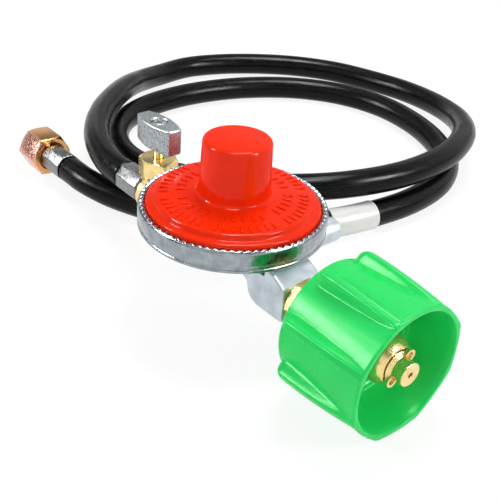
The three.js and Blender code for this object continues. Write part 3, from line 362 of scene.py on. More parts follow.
def finish(obj, kind, *nodes, body="regulator", slot=None, angle=32):
    """Shades a finished piece, gives it its material and puts it on its body."""
    settle(obj)
    open_mesh(obj)
    bpy.ops.mesh.remove_doubles(threshold=2 * MERGE)
    bpy.ops.mesh.fill_holes(sides=24)
    bpy.ops.object.mode_set(mode="OBJECT")
    bpy.ops.object.shade_smooth_by_angle(angle=math.radians(angle))
    obj.data.materials.clear()
    obj.data.materials.append(finish_of(kind))
    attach(obj, body)
    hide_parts(*nodes)
    clear_selection()
    return obj


# ---------------------------------------------------------------- materials


def add(tree, kind, links=None, **settings):
    """Adds a shader node with its settings; a link is an output socket or a plain value."""
    item = tree.nodes.new("ShaderNode" + kind)
    for key, value in settings.items():
        setattr(item, key, value)
    for socket, value in (links or {}).items():
        if isinstance(value, bpy.types.NodeSocket):
            tree.links.new(value, item.inputs[socket])
        else:
            item.inputs[socket].default_value = value
    return item


def blank(name, base, **sockets):
    """A material with only a Principled shader, and its node tree and shader."""
    material = bpy.data.materials.new(name)
    material.use_nodes = True
    tree = material.node_tree
    shader = tree.nodes["Principled BSDF"]
    shader.inputs["Base Color"].default_value = (*base, 1)
    for socket, value in sockets.items():
        shader.inputs[socket.replace("_", " ")].default_value = value
    return material, tree, shader


def grain(tree, millimetres, stretch=(1, 1, 1), detail=3.0):
    """Noise whose features measure the given millimetres, times the stretch along each axis."""
    place = add(tree, "TexCoord").outputs["Object"]
    scaled = add(tree, "Mapping", {"Vector": place, "Scale": [1000 / millimetres / s for s in stretch]})
    return add(tree, "TexNoise", {"Vector": scaled.outputs[0], "Scale": 1.0, "Detail": detail,
                                  "Roughness": 0.55}).outputs["Fac"]


def relief(tree, shader, layers):
    """Stacks (height socket, depth in millimetres) pairs into the shader's normal."""
    normal = None
    for height, depth in layers:
        links = {"Height": height, "Distance": depth / 1000, "Strength": 1.0}
        if normal:
            links["Normal"] = normal
        normal = add(tree, "Bump", links).outputs["Normal"]
    tree.links.new(normal, shader.inputs["Normal"])


def between(tree, factor, low, high, into, start=0.3, end=0.7):
    """Spreads a noise between two values, or two colours, into a shader socket."""
    spread = add(tree, "MapRange", {"Value": factor, "From Min": start, "From Max": end})
    if isinstance(low, (int, float)):
        spread.inputs["To Min"].default_value = low
        spread.inputs["To Max"].default_value = high
        tree.links.new(spread.outputs["Result"], into)
        return
    mix = add(tree, "Mix", {"Factor": spread.outputs["Result"]}, data_type="RGBA")
    mix.inputs[6].default_value = (*low, 1)
    mix.inputs[7].default_value = (*high, 1)
    tree.links.new(mix.outputs[2], into)


def shade(base, factor):
    """The same colour, lighter or darker."""
    return tuple(min(1.0, c * factor) for c in base)


def surface(name, base, lighter=1.0, tint=None, rough=None, bumps=(), extra=None, **sockets):
    """A material from noises.

    tint and rough are (grain, low, high), bumps are (grain, depth in millimetres). A grain is a
    size in millimetres, or (size, stretch, detail).
    """
    base = shade(base, lighter)
    material, tree, shader = blank(name, base, **sockets)

    def noise(sort):
        return grain(tree, *sort) if isinstance(sort, tuple) else grain(tree, sort)

    if tint:
        sort, low, high, *spread = tint
        between(tree, noise(sort), shade(base, low), shade(base, high),
                shader.inputs["Base Color"], *spread)
    if rough:
        between(tree, noise(rough[0]), *rough[1:], shader.inputs["Roughness"])
    if bumps:
        relief(tree, shader, [(noise(sort), depth) for sort, depth in bumps])
    if extra:
        extra(tree, shader, base)
    return material


def drag_lines(tree, shader, base):
    """Fine lines along the hose: the UV runs 0 to 1 along it, so each is centimetres long."""
    place = add(tree, "Mapping", {"Vector": add(tree, "TexCoord").outputs["UV"], "Scale": (120, 46, 1)})
    noise = add(tree, "TexNoise", {"Vector": place.outputs[0], "Scale": 1.0, "Detail": 4.0})
    between(tree, noise.outputs["Fac"], 0.16, 0.36, shader.inputs["Roughness"])
    relief(tree, shader, [(noise.outputs["Fac"], 0.05), (grain(tree, 0.9), 0.03)])


def pink_flats(tree, shader, base):
    """Gold on the top and on flats facing +Y, pink on flats facing -Y, with a noise blending between."""
    blush = tuple(bpy.context.scene.regulator_colours.blush)
    facing = add(tree, "SeparateXYZ", {0: add(tree, "TexCoord").outputs["Normal"]}).outputs["Y"]
    turned = add(tree, "Math", {0: facing, 1: -1.0}, operation="MULTIPLY")
    drift = add(tree, "Math", {0: grain(tree, 6.0), 1: turned.outputs[0]}, operation="ADD")
    between(tree, drift.outputs[0], base, blush, shader.inputs["Base Color"], 0.7, 1.2)


RINGS = (0.3, (1, 40, 40), 2.0)         # left round the axis by the lathe's tool
STREAKS = (0.35, (30, 1, 1), 3.0)       # left along the sleeve by the die
SPECKS = (0.55, (1, 1, 1), 4.0)         # peppered over the lever by tumbling

# material: its colour property, its slot and its surface
FINISHES = {
    # zinc alloy, die cast and plated: satin, with faint flow marks and rounded pits, its colour made
    # lighter than the zinc colour as painted light
    "cast_zinc": ("zinc", "zinc", {
        "Metallic": 1.0, "tint": (6.0, 1.15, 1.55), "rough": (2.2, 0.3, 0.46),
        "bumps": ((1.6, 0.05), (0.45, 0.02))}),
    # the same alloy burnished by the crimping roller: a mirror with soft waves, its colour painted
    # darker and in patches that are painted reflections
    "rolled_zinc": ("zinc", "zinc", {
        "Metallic": 1.0, "tint": (4.0, 0.62, 0.95), "rough": (1.5, 0.14, 0.3),
        "bumps": (((5.0, (1, 1, 1.6)), 0.32), (0.8, 0.02))}),
    # stoved enamel on pressed steel: thin gloss with a faint orange peel
    "red_enamel": ("paint", "red_paint", {
        "Roughness": 0.4, "Specular_IOR_Level": 0.0, "Coat_Weight": 0.3, "Coat_Roughness": 0.04,
        "tint": (9.0, 0.92, 1.04), "bumps": ((2.4, 0.035),)}),
    # free-machining brass off the lathe: bright, with fine rings
    "turned_brass": ("brass", "brass", {
        "Metallic": 0.85, "tint": (5.0, 0.82, 1.08), "rough": (RINGS, 0.12, 0.3),
        "bumps": ((RINGS, 0.006), (3.0, 0.02))}),
    # brass forged and tumbled: softer shine, small dents and creases
    "forged_brass": ("brass", "brass", {
        "Metallic": 0.85, "tint": (3.0, 0.86, 1.08), "rough": (1.0, 0.2, 0.42),
        "bumps": ((2.5, 0.25), (0.5, 0.03))}),
    # zinc-plated steel: bright grey, finely scratched
    "plated_steel": ("steel", "steel", {
        "Metallic": 1.0, "rough": (2.0, 0.22, 0.4), "bumps": ((0.4, 0.01),)}),
    # steel drawn through a die: streaks along it, bright where the dies pressed
    "drawn_steel": ("ferrule", "ferrule_steel", {
        "Metallic": 1.0, "Anisotropic": 0.4, "tint": (STREAKS, 0.48, 0.85), "rough": (1.4, 0.2, 0.42),
        "bumps": ((STREAKS, 0.015), (4.0, 0.05))}),
    # cast and barrel tumbled: peppered with light and dark specks
    "tumbled_lever": ("lever", "lever_metal", {
        "Metallic": 1.0, "tint": (SPECKS, 0.32, 1.0, 0.36, 0.6), "rough": (1.0, 0.28, 0.5),
        "bumps": ((SPECKS, 0.09), (2.5, 0.1))}),
    # glass-filled nylon, moulded: half gloss, with a faint mould texture
    "green_nylon": ("green", "green_plastic", {
        "Specular_IOR_Level": 0.25, "tint": (14.0, 0.94, 1.04), "rough": (1.2, 0.26, 0.38),
        "bumps": ((0.5, 0.012), (6.0, 0.06))}),
    # nitrile hose cover, extruded: satin black
    "hose_cover": ("rubber", "hose_rubber", {
        "Specular_IOR_Level": 0.13, "tint": (8.0, 0.8, 1.5), "extra": drag_lines}),
    # black moulded polymer with a fine matt grain
    "moulded_black": ("rubber", "black_plastic", {
        "lighter": 1.6, "rough": (0.6, 0.42, 0.6), "bumps": ((0.3, 0.01),)}),
    # sintered white fluoropolymer: waxy and slightly mottled
    "seal_white": ("film", "white", {"Roughness": 0.45, "tint": (1.0, 0.94, 1.0)}),
    # vinyl film wrapped round the hose: plain, half gloss, a little uneven over the rubber
    "label_film": ("film", "label_white", {
        "Roughness": 0.38, "tint": (7.0, 0.95, 1.0), "bumps": ((3.0, 0.05),)}),
    # yellow chromate over zinc
    "yellow_chromate": ("chromate", "chromate", {
        "Metallic": 1.0, "rough": (1.0, 0.16, 0.32), "bumps": (((0.3, (1, 30, 30)), 0.006), (4.0, 0.06)),
        "extra": pink_flats}),
}
MADE = {}


def finish_of(kind):
    """The material of a kind of finish, made once from its colour property."""
    if kind not in MADE:
        tone, _, settings = FINISHES[kind]
        base = getattr(bpy.context.scene.regulator_colours, tone)
        MADE[kind] = surface(kind, tuple(base), **settings)
    return MADE[kind]


# ---------------------------------------------------------------- the hose and its label


def centripetal(points, per_span):
    """A centripetal Catmull-Rom curve through points, the line that the CAD's tube follows."""
    ends = [points[0] * 2 - points[1], *points, points[-1] * 2 - points[-2]]
    line = []
    for p0, p1, p2, p3 in zip(ends, ends[1:], ends[2:], ends[3:]):
        d1, d2, d3 = [math.sqrt((b - a).length) for a, b in ((p0, p1), (p1, p2), (p2, p3))]
        m1 = ((p1 - p0) / d1 - (p2 - p0) / (d1 + d2) + (p2 - p1) / d2) * d2
        m2 = ((p2 - p1) / d2 - (p3 - p1) / (d2 + d3) + (p3 - p2) / d3) * d2
        for k in range(per_span):
            t = k / per_span
            line.append(p1 * (2 * t**3 - 3 * t**2 + 1) + m1 * (t**3 - 2 * t**2 + t)
                        + p2 * (3 * t**2 - 2 * t**3) + m2 * (t**3 - t**2))
    return [*line, points[-1]]


def stretch(line, start, end):
    """The points of a line between two distances along it."""
    kept, walked = [], 0.0
    for a, b in zip(line, line[1:]):
        step = (b - a).length
        for mark in (start, end):
            if walked < mark <= walked + step:
                kept.append(a + (b - a) * ((mark - walked) / step))
        if start < walked + step < end:
            kept.append(b)
        walked += step
    return kept


def line_length(line):
    """The length of a line of points."""
    return sum((b - a).length for a, b in zip(line, line[1:]))


def tube(name, line, radius, sides, narrow=None, caps=True):
    """A round tube along a line, made as a bevelled curve and turned into a mesh with its UV."""
    curve = bpy.data.curves.new(name, "CURVE")
    curve.dimensions = "3D"
    curve.bevel_depth = radius
    curve.bevel_resolution = sides // 4 - 2
    curve.use_fill_caps = caps
    spline = curve.splines.new("POLY")
    spline.points.add(len(line) - 1)
    for i, (item, place) in enumerate(zip(spline.points, line)):
        item.co = (*place, 1)
        item.radius = narrow(i) if narrow else 1.0
    obj = bpy.data.objects.new(name, curve)
    bpy.context.scene.collection.objects.link(obj)
    focus(obj)
    bpy.ops.object.convert(target="MESH")
    obj = named(name)
    open_mesh(obj)
    bpy.ops.mesh.remove_doubles(threshold=MERGE)
    return close_mesh(obj)


# ---------------------------------------------------------------- operators


class BuildOperator(Operator):
    """Shared form of the operators that make pieces."""

    bl_options = {"REGISTER", "UNDO"}

    def execute(self, context):
        """Makes the pieces from the scene's sizes."""
        self.build(context.scene.regulator_sizes)
        return {"FINISHED"}


class REGULATOR_OT_camera(BuildOperator):
    """Places the camera as the photograph was taken: above the nut, looking along the outlet"""

    bl_idname = "regulator.camera"
    bl_label = "Camera"

    def build(self, sizes):
        """Adds the camera with its lens."""
        bpy.ops.object.camera_add()
        camera = bpy.context.active_object
        camera.name = "camera"
        right = Vector((0.64032579, 0.76482562, 0.07088487))
        up = Vector((-0.4430252, 0.29236162, 0.84749829))
        back = Vector((0.62746439, -0.57407879, 0.52604371))
        camera.matrix_world = Matrix.Translation(mm(226.692, -196.776, 211.909)) @ Matrix(
            (right, up, back)).transposed().to_4x4()
        camera.data.sensor_width = 36
        camera.data.lens = 63.679
        bpy.context.scene.camera = camera


class REGULATOR_OT_hose(BuildOperator):
    """Lays the rubber hose in its two loops and wraps the label round it"""

    bl_idname = "regulator.hose"
    bl_label = "Hose and Label"

    def build(self, sizes):
        """Makes the hose as one tube, and the label as a wrap on it."""
        line = centripetal(HOSE_POINTS, 12)
        whole = line_length(line)
        count = len(line)
        # the crimp squeezes the hose where it enters a ferrule
        squeeze = {0: 0.9, 1: 0.94, 2: 0.985}
        hose = tube("rubber_hose", line, sizes.hose / 2, 40,
                    lambda i: squeeze.get(min(i, count - 1 - i), 1.0))
        finish(hose, "hose_cover", "hose", angle=60)

        start = whole - sizes.label_place - sizes.label_length
        wrapped = stretch(line, start, start + sizes.label_length)
        label = tube("wrap_label", wrapped, sizes.label / 2, 48, caps=False)
        modify(label, "SOLIDIFY", thickness=0.00032, offset=-1)
        finish(label, "label_film", "label_sleeve", angle=40)


class REGULATOR_OT_bonnet(BuildOperator):
    """Presses the red bonnet with its stepped plateau, tower and raised ticks"""

    bl_idname = "regulator.bonnet"
    bl_label = "Bonnet"

    def build(self, sizes):
        """Turns the bonnet and sets two rings of plain ticks on its plateau."""
        base, top = span("bonnet", "Z")
        flange = span("bonnet", "X")[1]
        inner = [(0, top - 2.6), (10.4, top - 2.6, 1), (11.8, base + 8.9, 2), (15, base + 5.8, 1),
                 (28.4, base + 4.7, 1), (30.3, base + 1.4, 1)]
        bonnet = lathe("red_bonnet", [
            (31.5, base), (flange, base, 0.3), (flange, base + 2.4, 0.3), (33.9, base + 2.4),
            (33.9, base + 4.45, 1.1), (31.2, base + 4.75, 0.6), (30.65, base + 6.85, 0.9),
            (22, base + 7.67, 4), (17, base + 7.98, 2), (14.05, base + 8.3, 3.4),
            (13.2, top - 0.12, 1.6), (0, top), *inner], "Z", (0, 0, 0), 192)
        for radius, height, count, gap in ((27.0, 7.3, sizes.outer_ticks, 9),
                                           (20.6, 7.84, sizes.inner_ticks, 6)):
            tick = self.tick(base + height, radius)
            join(bonnet, *[self.copy(tick, 2 * math.pi * i / count) for i in range(count) if i % gap])
            bpy.data.objects.remove(tick)
        finish(bonnet, "red_enamel", "bonnet", angle=40)

    def tick(self, level, radius):
        """One raised bar lying on the plateau, its long side towards the tower."""
        half_length, half_width = 1.9, 0.375
        bar = block("tick", (radius - half_length, radius + half_length), (-half_width, half_width),
                    (level - 0.45, level + 0.42))
        return soften(bar, 0.24, 2)

    def copy(self, tick, angle):
        """A copy of the bar, turned about the bonnet's axis, with a mesh of its own."""
        other = tick.copy()
        other.data = tick.data.copy()
        bpy.context.scene.collection.objects.link(other)
        turn = Matrix.Translation(mm()) @ Matrix.Rotation(angle, 4, "Z") @ Matrix.Translation(-mm())
        other.data.transform(turn)
        return other


class REGULATOR_OT_casting(BuildOperator):
    """Casts the zinc body with its bosses and crimps the rim over the bonnet"""

    bl_idname = "regulator.casting"
    bl_label = "Body Casting"

    def build(self, sizes):
        """Makes the bowl with its bosses, the crimped rim and the tapping's plug."""
        self.bowl(sizes)
        self.rim(sizes)
        self.plug()

    def bowl(self, sizes):
        """The bowl, its ridge and bosses in one casting, its corners rounded by the voxels."""
        hub, ledge, band = 21.2, 42.4, 38.5
        face = -span("body_casting", "X")[0]
        casting = lathe("cast_body", [
            (0, hub), (9, hub, 1.5), (28, 33.6, 3), (34.2, 37.2, 2), (36.3, 38.45, 0.4),
            (35.2, band + 1), (35.2, ledge), (31.5, ledge, 0.6), (30.5, 39.4, 2), (17.5, 35.4, 3),
            (11.5, 33.8, 1), (11.5, 25.6, 1), (8.6, 22.6, 1), (0, 22.6)], "Z", (0, 0, 0), 160)
        tap, tap_face = centre_of("tap_plug", "Y"), span("body_casting", "Y")[1]
        inlet_face = span("inlet_nipple", "X")[0] + 10
        base, rear, top = 18.6, 22.2, 34.4
        boss = soften(plate("inlet_boss", [
            (9.5, base + 9.9), (rear - 6.2, base + 9.9), (rear - 1.2, base + 7.8), (rear, base + 3.4),
            (rear + 2.3, base + 1), (rear + 5.3, base), (inlet_face, base), (inlet_face, top - 1.6),
            (38, top + 0.6), (35, 36.5), (9.5, 36.5)], 19, (0, 0, 0), upright=True), 0.7, 2, 50)
        carve(boss, rod("pocket", 32, 33.4, 44, "Z", (0, 0, 0)))
        carve(casting, boss, rod("ridge", INLET - hub, -13, rear + 4),
              rod("outlet_boss", 9.4, -face, -12.4), rod("tap_boss", 5.3, 12.4, tap_face, "Y", tap),
              operation="UNION")
        carve(casting,
              rod("well", 11.4, 25.6, 35.4, "Z", (0, 0, 0)),
              rod("disc_bore", 3.75, -10.75, 13.5),
              rod("inlet_thread", THREAD_RADIUS, inlet_face - THREAD_DEPTH, 44),
              rod("orifice_bore", 4.2, 1, 42),
              rod("outlet_thread", THREAD_RADIUS, -face - 1, THREAD_DEPTH - face),
              rod("outlet_bore", 2.5, -face, 0),
              rod("tap_thread", 3.7, tap_face - 7.3, tap_face + 1, "Y", tap))
        for cheek in ((1.95, 3.75), (-3.75, -1.95)):
            carve(casting, block("pin_seat", (-13, -5), cheek, (30.7, 36.3)), operation="UNION")
        carve(casting, rod("pin_hole", 1.35, -6, 6, "Y", (-7.4, 0, 33.7)))
        focus(casting)
        casting.data.remesh_voxel_size = sizes.voxel
        casting.data.remesh_voxel_adaptivity = 0
        bpy.ops.object.voxel_remesh()
        modify(casting, "SMOOTH", factor=0.5, iterations=5)
        finish(casting, "cast_zinc", "body_casting", angle=60)

    def rim(self, sizes):
        """The upright band and the lip that the crimping tool folded down in small teeth."""
        lip, top = 34.2, span("body_casting", "Z")[1]
        reached, fold = 36.7, 0.62      # the tool bites inside this radius, and folds by this much
        rim = lathe("crimped_rim", [
            (34.6, 38.7), (36.2, 38.3), (37, 38.5, 0.3), (37, 39.5, 0.4), (36.65, 39.9, 0.3),
            (36.72, 40.6, 0.5), (37, 41.8, 1.2), (37, top - 1.1, 1.3), (36.1, top, 0.8),
            (lip + 0.9, top - 0.05, 0.5), (lip, top - 0.7, 0.3), (lip + 0.1, top - 1.1),
            (35.4, top - 1.1), (35.4, 42.4), (34.6, 42.4)], "Z", (0, 0, 0), sizes.teeth * 6)
        for vertex in rim.data.vertices:
            offset = (vertex.co - mm()) * 1000
            radius = math.hypot(offset.x, offset.y)
            if radius > reached or offset.z < top - 1.15 or radius < lip - 0.2:
                continue
            wave = 0.5 + 0.5 * math.cos(sizes.teeth * math.atan2(offset.y, offset.x))
            reach = share(radius, reached, reached - 1.3)
            bite = 1 + 0.55 * reach * wave**2 / radius
            vertex.co.x = mm(offset.x * bite).x
            vertex.co.y = mm(0, offset.y * bite).y
            vertex.co.z -= fold / 1000 * reach * wave**2
        finish(rim, "rolled_zinc", "body_casting", angle=50)

    def plug(self):
        """The plug in the tapping, with its hexagon socket."""
        start, end = span("tap_plug", "Y")
        centre = centre_of("tap_plug", "Y")
        plug = lathe("tapping_plug", [(0, start), (3.4, start, 0.3), (3.4, end, 0.4), (0, end)],
                     "Y", centre)
        carve(plug, prism("socket", 6, 3.4, end - 3.4, end + 1, "Y", centre, 0, 0))
        finish(plug, "plated_steel", "tap_plug")


class REGULATOR_OT_inlet(BuildOperator):
    """Turns the brass nipple with its hexagon, bulb and ported nose"""

    bl_idname = "regulator.inlet"
    bl_label = "Inlet Nipple"

    def build(self, sizes):
        """Makes the nipple, the nose and the bushing that the nut runs on."""
        start, end = span("inlet_nipple", "X")
        hexagon = start + THREAD_DEPTH
        nipple = lathe("brass_nipple", [
            (2.5, start), (5.8, start), (6.4, start + 1), (6.4, hexagon), (6.4, 60.2, 0.4),
            (9.3, 60.2, 0.9), (9.3, end - 4.4, 1.2), (8.7, end - 2.2, 1), (7.1, end, 0.5), (5.2, end),
            (5.2, 70), (2.5, 70)], steps=128)
        blank_hex = prism("nipple_hexagon", 6, 17, hexagon, hexagon + 6, corner=30)
        carve(blank_hex, rod("hexagon_bore", 5.5, hexagon - 1, hexagon + 7))
        carve(nipple, blank_hex, operation="UNION")
        finish(nipple, "turned_brass", "inlet_nipple")

        start, end = span("nipple_nose", "X")
        base = end - 5.8
        nose = lathe("brass_nose", [
            (1.1, start), (4.9, start, 0.3), (4.9, base), (6.2, base, 0.2), (5, base + 1, 0.3),
            (4.6, base + 1.2, 0.2), (4.6, end, 0.5), (1.1, end, 0.12)])
        for turn in (46, 226):
            y, z = 5.2 * math.cos(math.radians(turn)), INLET + 5.2 * math.sin(math.radians(turn))
            carve(nose, rod("port_rim", 2.5, base, base + 1.6, centre=(0, y, z)), operation="UNION")
            carve(nose, rod("port", 1.5, base + 0.9, base + 3, centre=(0, y, z)))
        finish(nose, "turned_brass", "nipple_nose")

        start, end = span("thermal_bushing", "X")
        bushing = lathe("nut_bushing", [
            (6.75, start), (9.5, start, 0.3), (9.5, end - 1.5), (12.6, end - 1.5, 0.3),
            (12.6, end, 0.3), (6.75, end)])
        finish(bushing, "moulded_black", "thermal_bushing", body="bushing")


class REGULATOR_OT_nut(BuildOperator):
    """Moulds the ribbed hand nut with its skirt and the thread inside its collar"""

    bl_idname = "regulator.nut"
    bl_label = "Hand Nut"

    def build(self, sizes):
        """Turns the nut, raises its ribs and winds the thread."""
        rear, front = span("handwheel_nut", "X")
        # stations along the outside, close together where the ribs start
        close = [rear + 0.9 + 0.3 * i for i in range(21)]
        wide = [close[-1] + (front - 0.5 - close[-1]) * i / 36 for i in range(1, 37)]
        outside = [(self.base(x, rear, front), x) for x in close + wide]
        nut = lathe("hand_nut", [
            (10.2, rear, 0.2), (22.4, rear), (23.1, rear + 0.25), *outside, (25.35, front - 0.12),
            (25.05, front, 0.2), (24.05, front, 0.2), (23.75, front - 0.4), (22.9, front - 5, 2),
            (21.1, 81, 2), (19.6, 77, 0.6), (18, 77, 0.5), (17.1, 76, 0.4), (17.1, rear + 3, 0.4),
            (10.2, rear + 3, 0.3)], steps=360)
        # a rib, or the corner that it leaves on the rim, stands above the round
        pitch = 360 / sizes.ribs
        for vertex in nut.data.vertices:
            offset = (vertex.co - mm(*INLET_AXIS)) * 1000
            radius = math.hypot(offset.y, offset.z)
            outer = self.base(offset.x, rear, front)
            if radius < outer - 0.95:
                continue
            angle = math.degrees(math.atan2(offset.z, offset.y))
            off = abs(angle % pitch - pitch / 2)
            grown = radius + share(radius, outer - 0.95, outer - 0.65) * max(
                self.rib(offset.x, off, rear, front),
                0.9 * share(offset.x, rear, front) * (1 - off / (pitch / 2)) ** 1.5)
            vertex.co.y = mm(0, offset.y * grown / radius).y
            vertex.co.z = mm(0, 0, INLET + offset.z * grown / radius).z
        join(nut, thread("acme_thread", 17.1, 1.1, 5.08, 2.6, rear + 6.4, (0, INLET), 1.5, 0.8))
        finish(nut, "green_nylon", "handwheel_nut", body="hand_nut", angle=55)

    def base(self, x, rear, front):
        """Radius of the nut between its ribs."""
        return 23.6 + 2.0 * ((x - rear) / (front - rear)) ** 2

    def rib(self, x, off, rear, front):
        """How far a rib stands above the base, some degrees off its middle."""
        start, peak = rear + 2.6, rear + 6.6
        round_end = math.sqrt(1 - (1 - share(x, start, peak)) ** 2)
        side = share(off / (0.45 + 0.55 * round_end), 2.2, 7.6)
        crest = 28.9 - 2.4 * share(x, peak, front) ** 2
        return (crest - self.base(x, rear, front)) * round_end * (1 - side * side * (3 - 2 * side))


class REGULATOR_OT_valve(BuildOperator):
    """Forges the quarter-turn valve: body, bonnet nut, stem, wing lever and screw"""

    bl_idname = "regulator.valve"
    bl_label = "Valve"

    def build(self, sizes):
        """Makes the valve's pieces about its own upright axis."""
        x = middle("valve_stem", "X")
        self.body(x)
        self.bonnet_nut(x)
        self.stem(x)
        self.lever(x)
        self.screw(x)

    def body(self, x):
        """The barrel with its collar and the neck of the stem."""
        end, thread_end = span("valve_body", "X")
        top = span("valve_body", "Z")[1]
        start = thread_end - THREAD_DEPTH
        body = lathe("valve_barrel", [
            (5.7, end), (7.3, end, 0.2), (7.6, end + 0.5, 0.3), (7.6, x + 6.4, 0.8), (6.6, x + 7.6, 0.8),
            (6.6, start - 2.6, 0.5), (8.4, start - 2.2, 0.4), (8.4, start, 0.3), (6.4, start),
            (6.4, thread_end - 1), (5.7, thread_end), (2.5, thread_end), (2.5, x + 4.8),
            (5.7, x + 4.8)])
        neck = lathe("neck", [(0, INLET + 6.2), (7.2, INLET + 6.2, 1), (6.2, INLET + 8.6, 1),
                              (6.2, top, 0.3), (0, top)], "Z", (x, 0, 0), TURNED)
        carve(body, neck, operation="UNION")
        carve(body, rod("stem_bore", 2.45, INLET, top + 1, "Z", (x, 0, 0)),
              rod("packing_bore", 4, top - 4.6, top + 1, "Z", (x, 0, 0)),
              rod("ball_room", 5.7, end - 1, x + 4.7))
        finish(body, "forged_brass", "valve_body")

    def bonnet_nut(self, x):
        """The hexagon over the packing, with a turned groove at its foot."""
        base, top = span("valve_bonnet_nut", "Z")
        neck = base + 3.2
        nut = prism("packing_nut", 6, 15, base, top, "Z", (x, 0, 0), 40, 1.0)
        groove = lathe("groove", [(6.9, base + 1.1), (10, base + 1.1), (10, base + 2), (6.9, base + 2)],
                       "Z", (x, 0, 0), TURNED)
        carve(nut, groove, rod("pocket", 6.5, base - 1, neck + 0.5, "Z", (x, 0, 0)),
              rod("hole", 2.45, base, top + 1, "Z", (x, 0, 0)))
        soften(nut, 0.18, 2)
        join(nut, lathe("follower", [(2.45, neck - 1.2), (3.7, neck - 1.2), (3.7, neck + 1),
                                     (2.45, neck + 1)], "Z", (x, 0, 0), 48))
        finish(nut, "turned_brass", "valve_bonnet_nut")

    def stem(self, x):
        """The stem, with the tongue that turns the ball."""
        low, top = span("valve_stem", "Z")
        foot = low + 1.4
        stem = lathe("key_stem", [(0, foot), (2.1, foot, 0.2), (2.1, top, 0.2), (0, top)],
                     "Z", (x, 0, 0), TURNED)
        carve(stem, block("tongue", (x - 1.9, x + 1.9), (-0.8, 0.8), (low, foot + 0.7)),
              operation="UNION")
        carve(stem, rod("screw_bore", 1.4, top - 6, top + 1, "Z", (x, 0, 0)))
        finish(stem, "turned_brass", "valve_stem", body="valve_key")

    def lever(self, x):
        """A lens-shaped wing between two arcs, its ends cut square."""
        left, right = span("lever_handle", "X")
        near, far = span("lever_handle", "Y")
        base, top = span("lever_handle", "Z")
        half, belly, tip = (right - left) / 2, (far - near) / 2, 2.95
        marks = [i / 12 for i in range(-12, 13)]
        outline = [(s * half, -(tip + (belly - tip) * (1 - s * s))) for s in marks]
        outline += [(-u, -v) for u, v in outline]
        lever = soften(plate("wing_lever", outline, top - base, (x, 0, base)), 0.8, 4, 25)
        carve(lever, rod("stem_room", 2.4, base - 1, top - 3.9, "Z", (x, 0, 0)),
              rod("shank_room", 1.4, top - 5, top + 1, "Z", (x, 0, 0)),
              lathe("recess", [(0, top - 2.4), (3.4, top - 2.4, 0.4), (3.4, top - 0.5, 0.3),
                               (4, top + 0.3), (0, top + 0.3)], "Z", (x, 0, 0)))
        finish(lever, "tumbled_lever", "lever_handle", body="valve_key", angle=30)

    def screw(self, x):
        """The screw that holds the lever, with a cross slot in its dome."""
        low, top = span("handle_screw", "Z")
        head = top - 1.8
        screw = lathe("cross_screw", [
            (0, low), (1.1, low, 0.2), (1.1, head), (3.1, head, 0.2), (3.1, head + 1.2, 0.6),
            (1.9, top - 0.1, 0.6), (0, top)], "Z", (x, 0, 0), TURNED)
        for along, across in ((1.9, 0.38), (0.38, 1.9)):
            carve(screw, block("slot", (x - along, x + along), (-across, across), (head + 0.7, top + 1)))
        finish(screw, "plated_steel", "handle_screw", body="valve_key", slot="brass")


class REGULATOR_OT_hose_ends(BuildOperator):
    """Makes the adapter, the two crimped ferrules and the flare tailpiece"""

    bl_idname = "regulator.hose_ends"
    bl_label = "Hose Ends"

    def build(self, sizes):
        """Makes the pieces that hold the hose at both ends."""
        low, high = span("hose_adapter", "X")
        shoulder = span("ferrule_valve", "X")[1]
        hexagon = (shoulder + 0.3, shoulder + 1.6)
        adapter = lathe("hose_adapter_tail", [
            (2.2, high), (5.4, high, 0.3), (5.4, hexagon[1]), (4.4, hexagon[0]), (4.4, shoulder - 1.6),
            *self.barb(shoulder - 1.6, low), (2.2, low)], steps=TURNED)
        collar = prism("adapter_hexagon", 6, 13, *hexagon, corner=0, chamfer=0.4)
        carve(collar, rod("collar_bore", 3.8, hexagon[0] - 1, hexagon[1] + 1))
        carve(adapter, collar, operation="UNION")
        finish(adapter, "turned_brass", "hose_adapter")

        flare = centre_of("flare_nut")
        for name, node, axis in (("valve_ferrule", "ferrule_valve", INLET_AXIS),
                                 ("flare_ferrule", "ferrule_flare", flare)):
            piece = self.ferrule(name, *span(node, "X"), axis, node == "ferrule_valve")
            finish(piece, "drawn_steel", node)

        low, high = span("flare_tailpiece", "X")
        shoulder = span("ferrule_flare", "X")[0]
        back = span("flare_nut", "X")[1] - 3.7
        tail = lathe("flare_tail", [
            (2.2, low), (3, low, 0.2), (6.8, back - 1.8, 0.3), (6.8, back, 0.3), (5.2, back),
            (5.2, shoulder - 0.3), (4.4, shoulder - 0.3), (4.4, shoulder + 1.6),
            *self.barb(shoulder + 1.6, high), (2.2, high)], centre=flare, steps=TURNED)
        finish(tail, "yellow_chromate", "flare_tailpiece")

    def barb(self, start, end):
        """Two ridges that grip the hose, from the shoulder towards the tip."""
        step = (end - start) / 2.5
        points = [(3.3, start)]
        for i in range(2):
            x = start + step * (i + 0.5)
            points += [(3.3, x), (3.55, x + math.copysign(0.3, step)), (3.3, x + step * 0.8)]
        return [*points, (2.7, end)]

    def ferrule(self, name, low, high, centre, mouth_low):
        """An eight-sided sleeve, closed at its shoulder, its mouth edge bevelled."""
        sleeve = prism(name, 8, 13.3, low, high, centre=centre, corner=22.5, chamfer=0)
        soften(sleeve, 0.75, 4, 30)
        bore = (low - 1, high - 1.3) if mouth_low else (low + 1.3, high + 1)
        # the bore opens by half a millimetre at its mouth
        mouth, before, after = (low, 6.6, 6.1) if mouth_low else (high, 6.1, 6.6)
        flare = lathe("mouth", [(0, mouth - 0.5), (before, mouth - 0.5), (6.6, mouth),
                                (after, mouth + 0.5), (0, mouth + 0.5)], centre=centre)
        carve(sleeve, rod("bore", 6.1, *bore, centre=centre), flare,
              rod("hole", 4.7, low - 1, high + 1, centre=centre))
        return sleeve


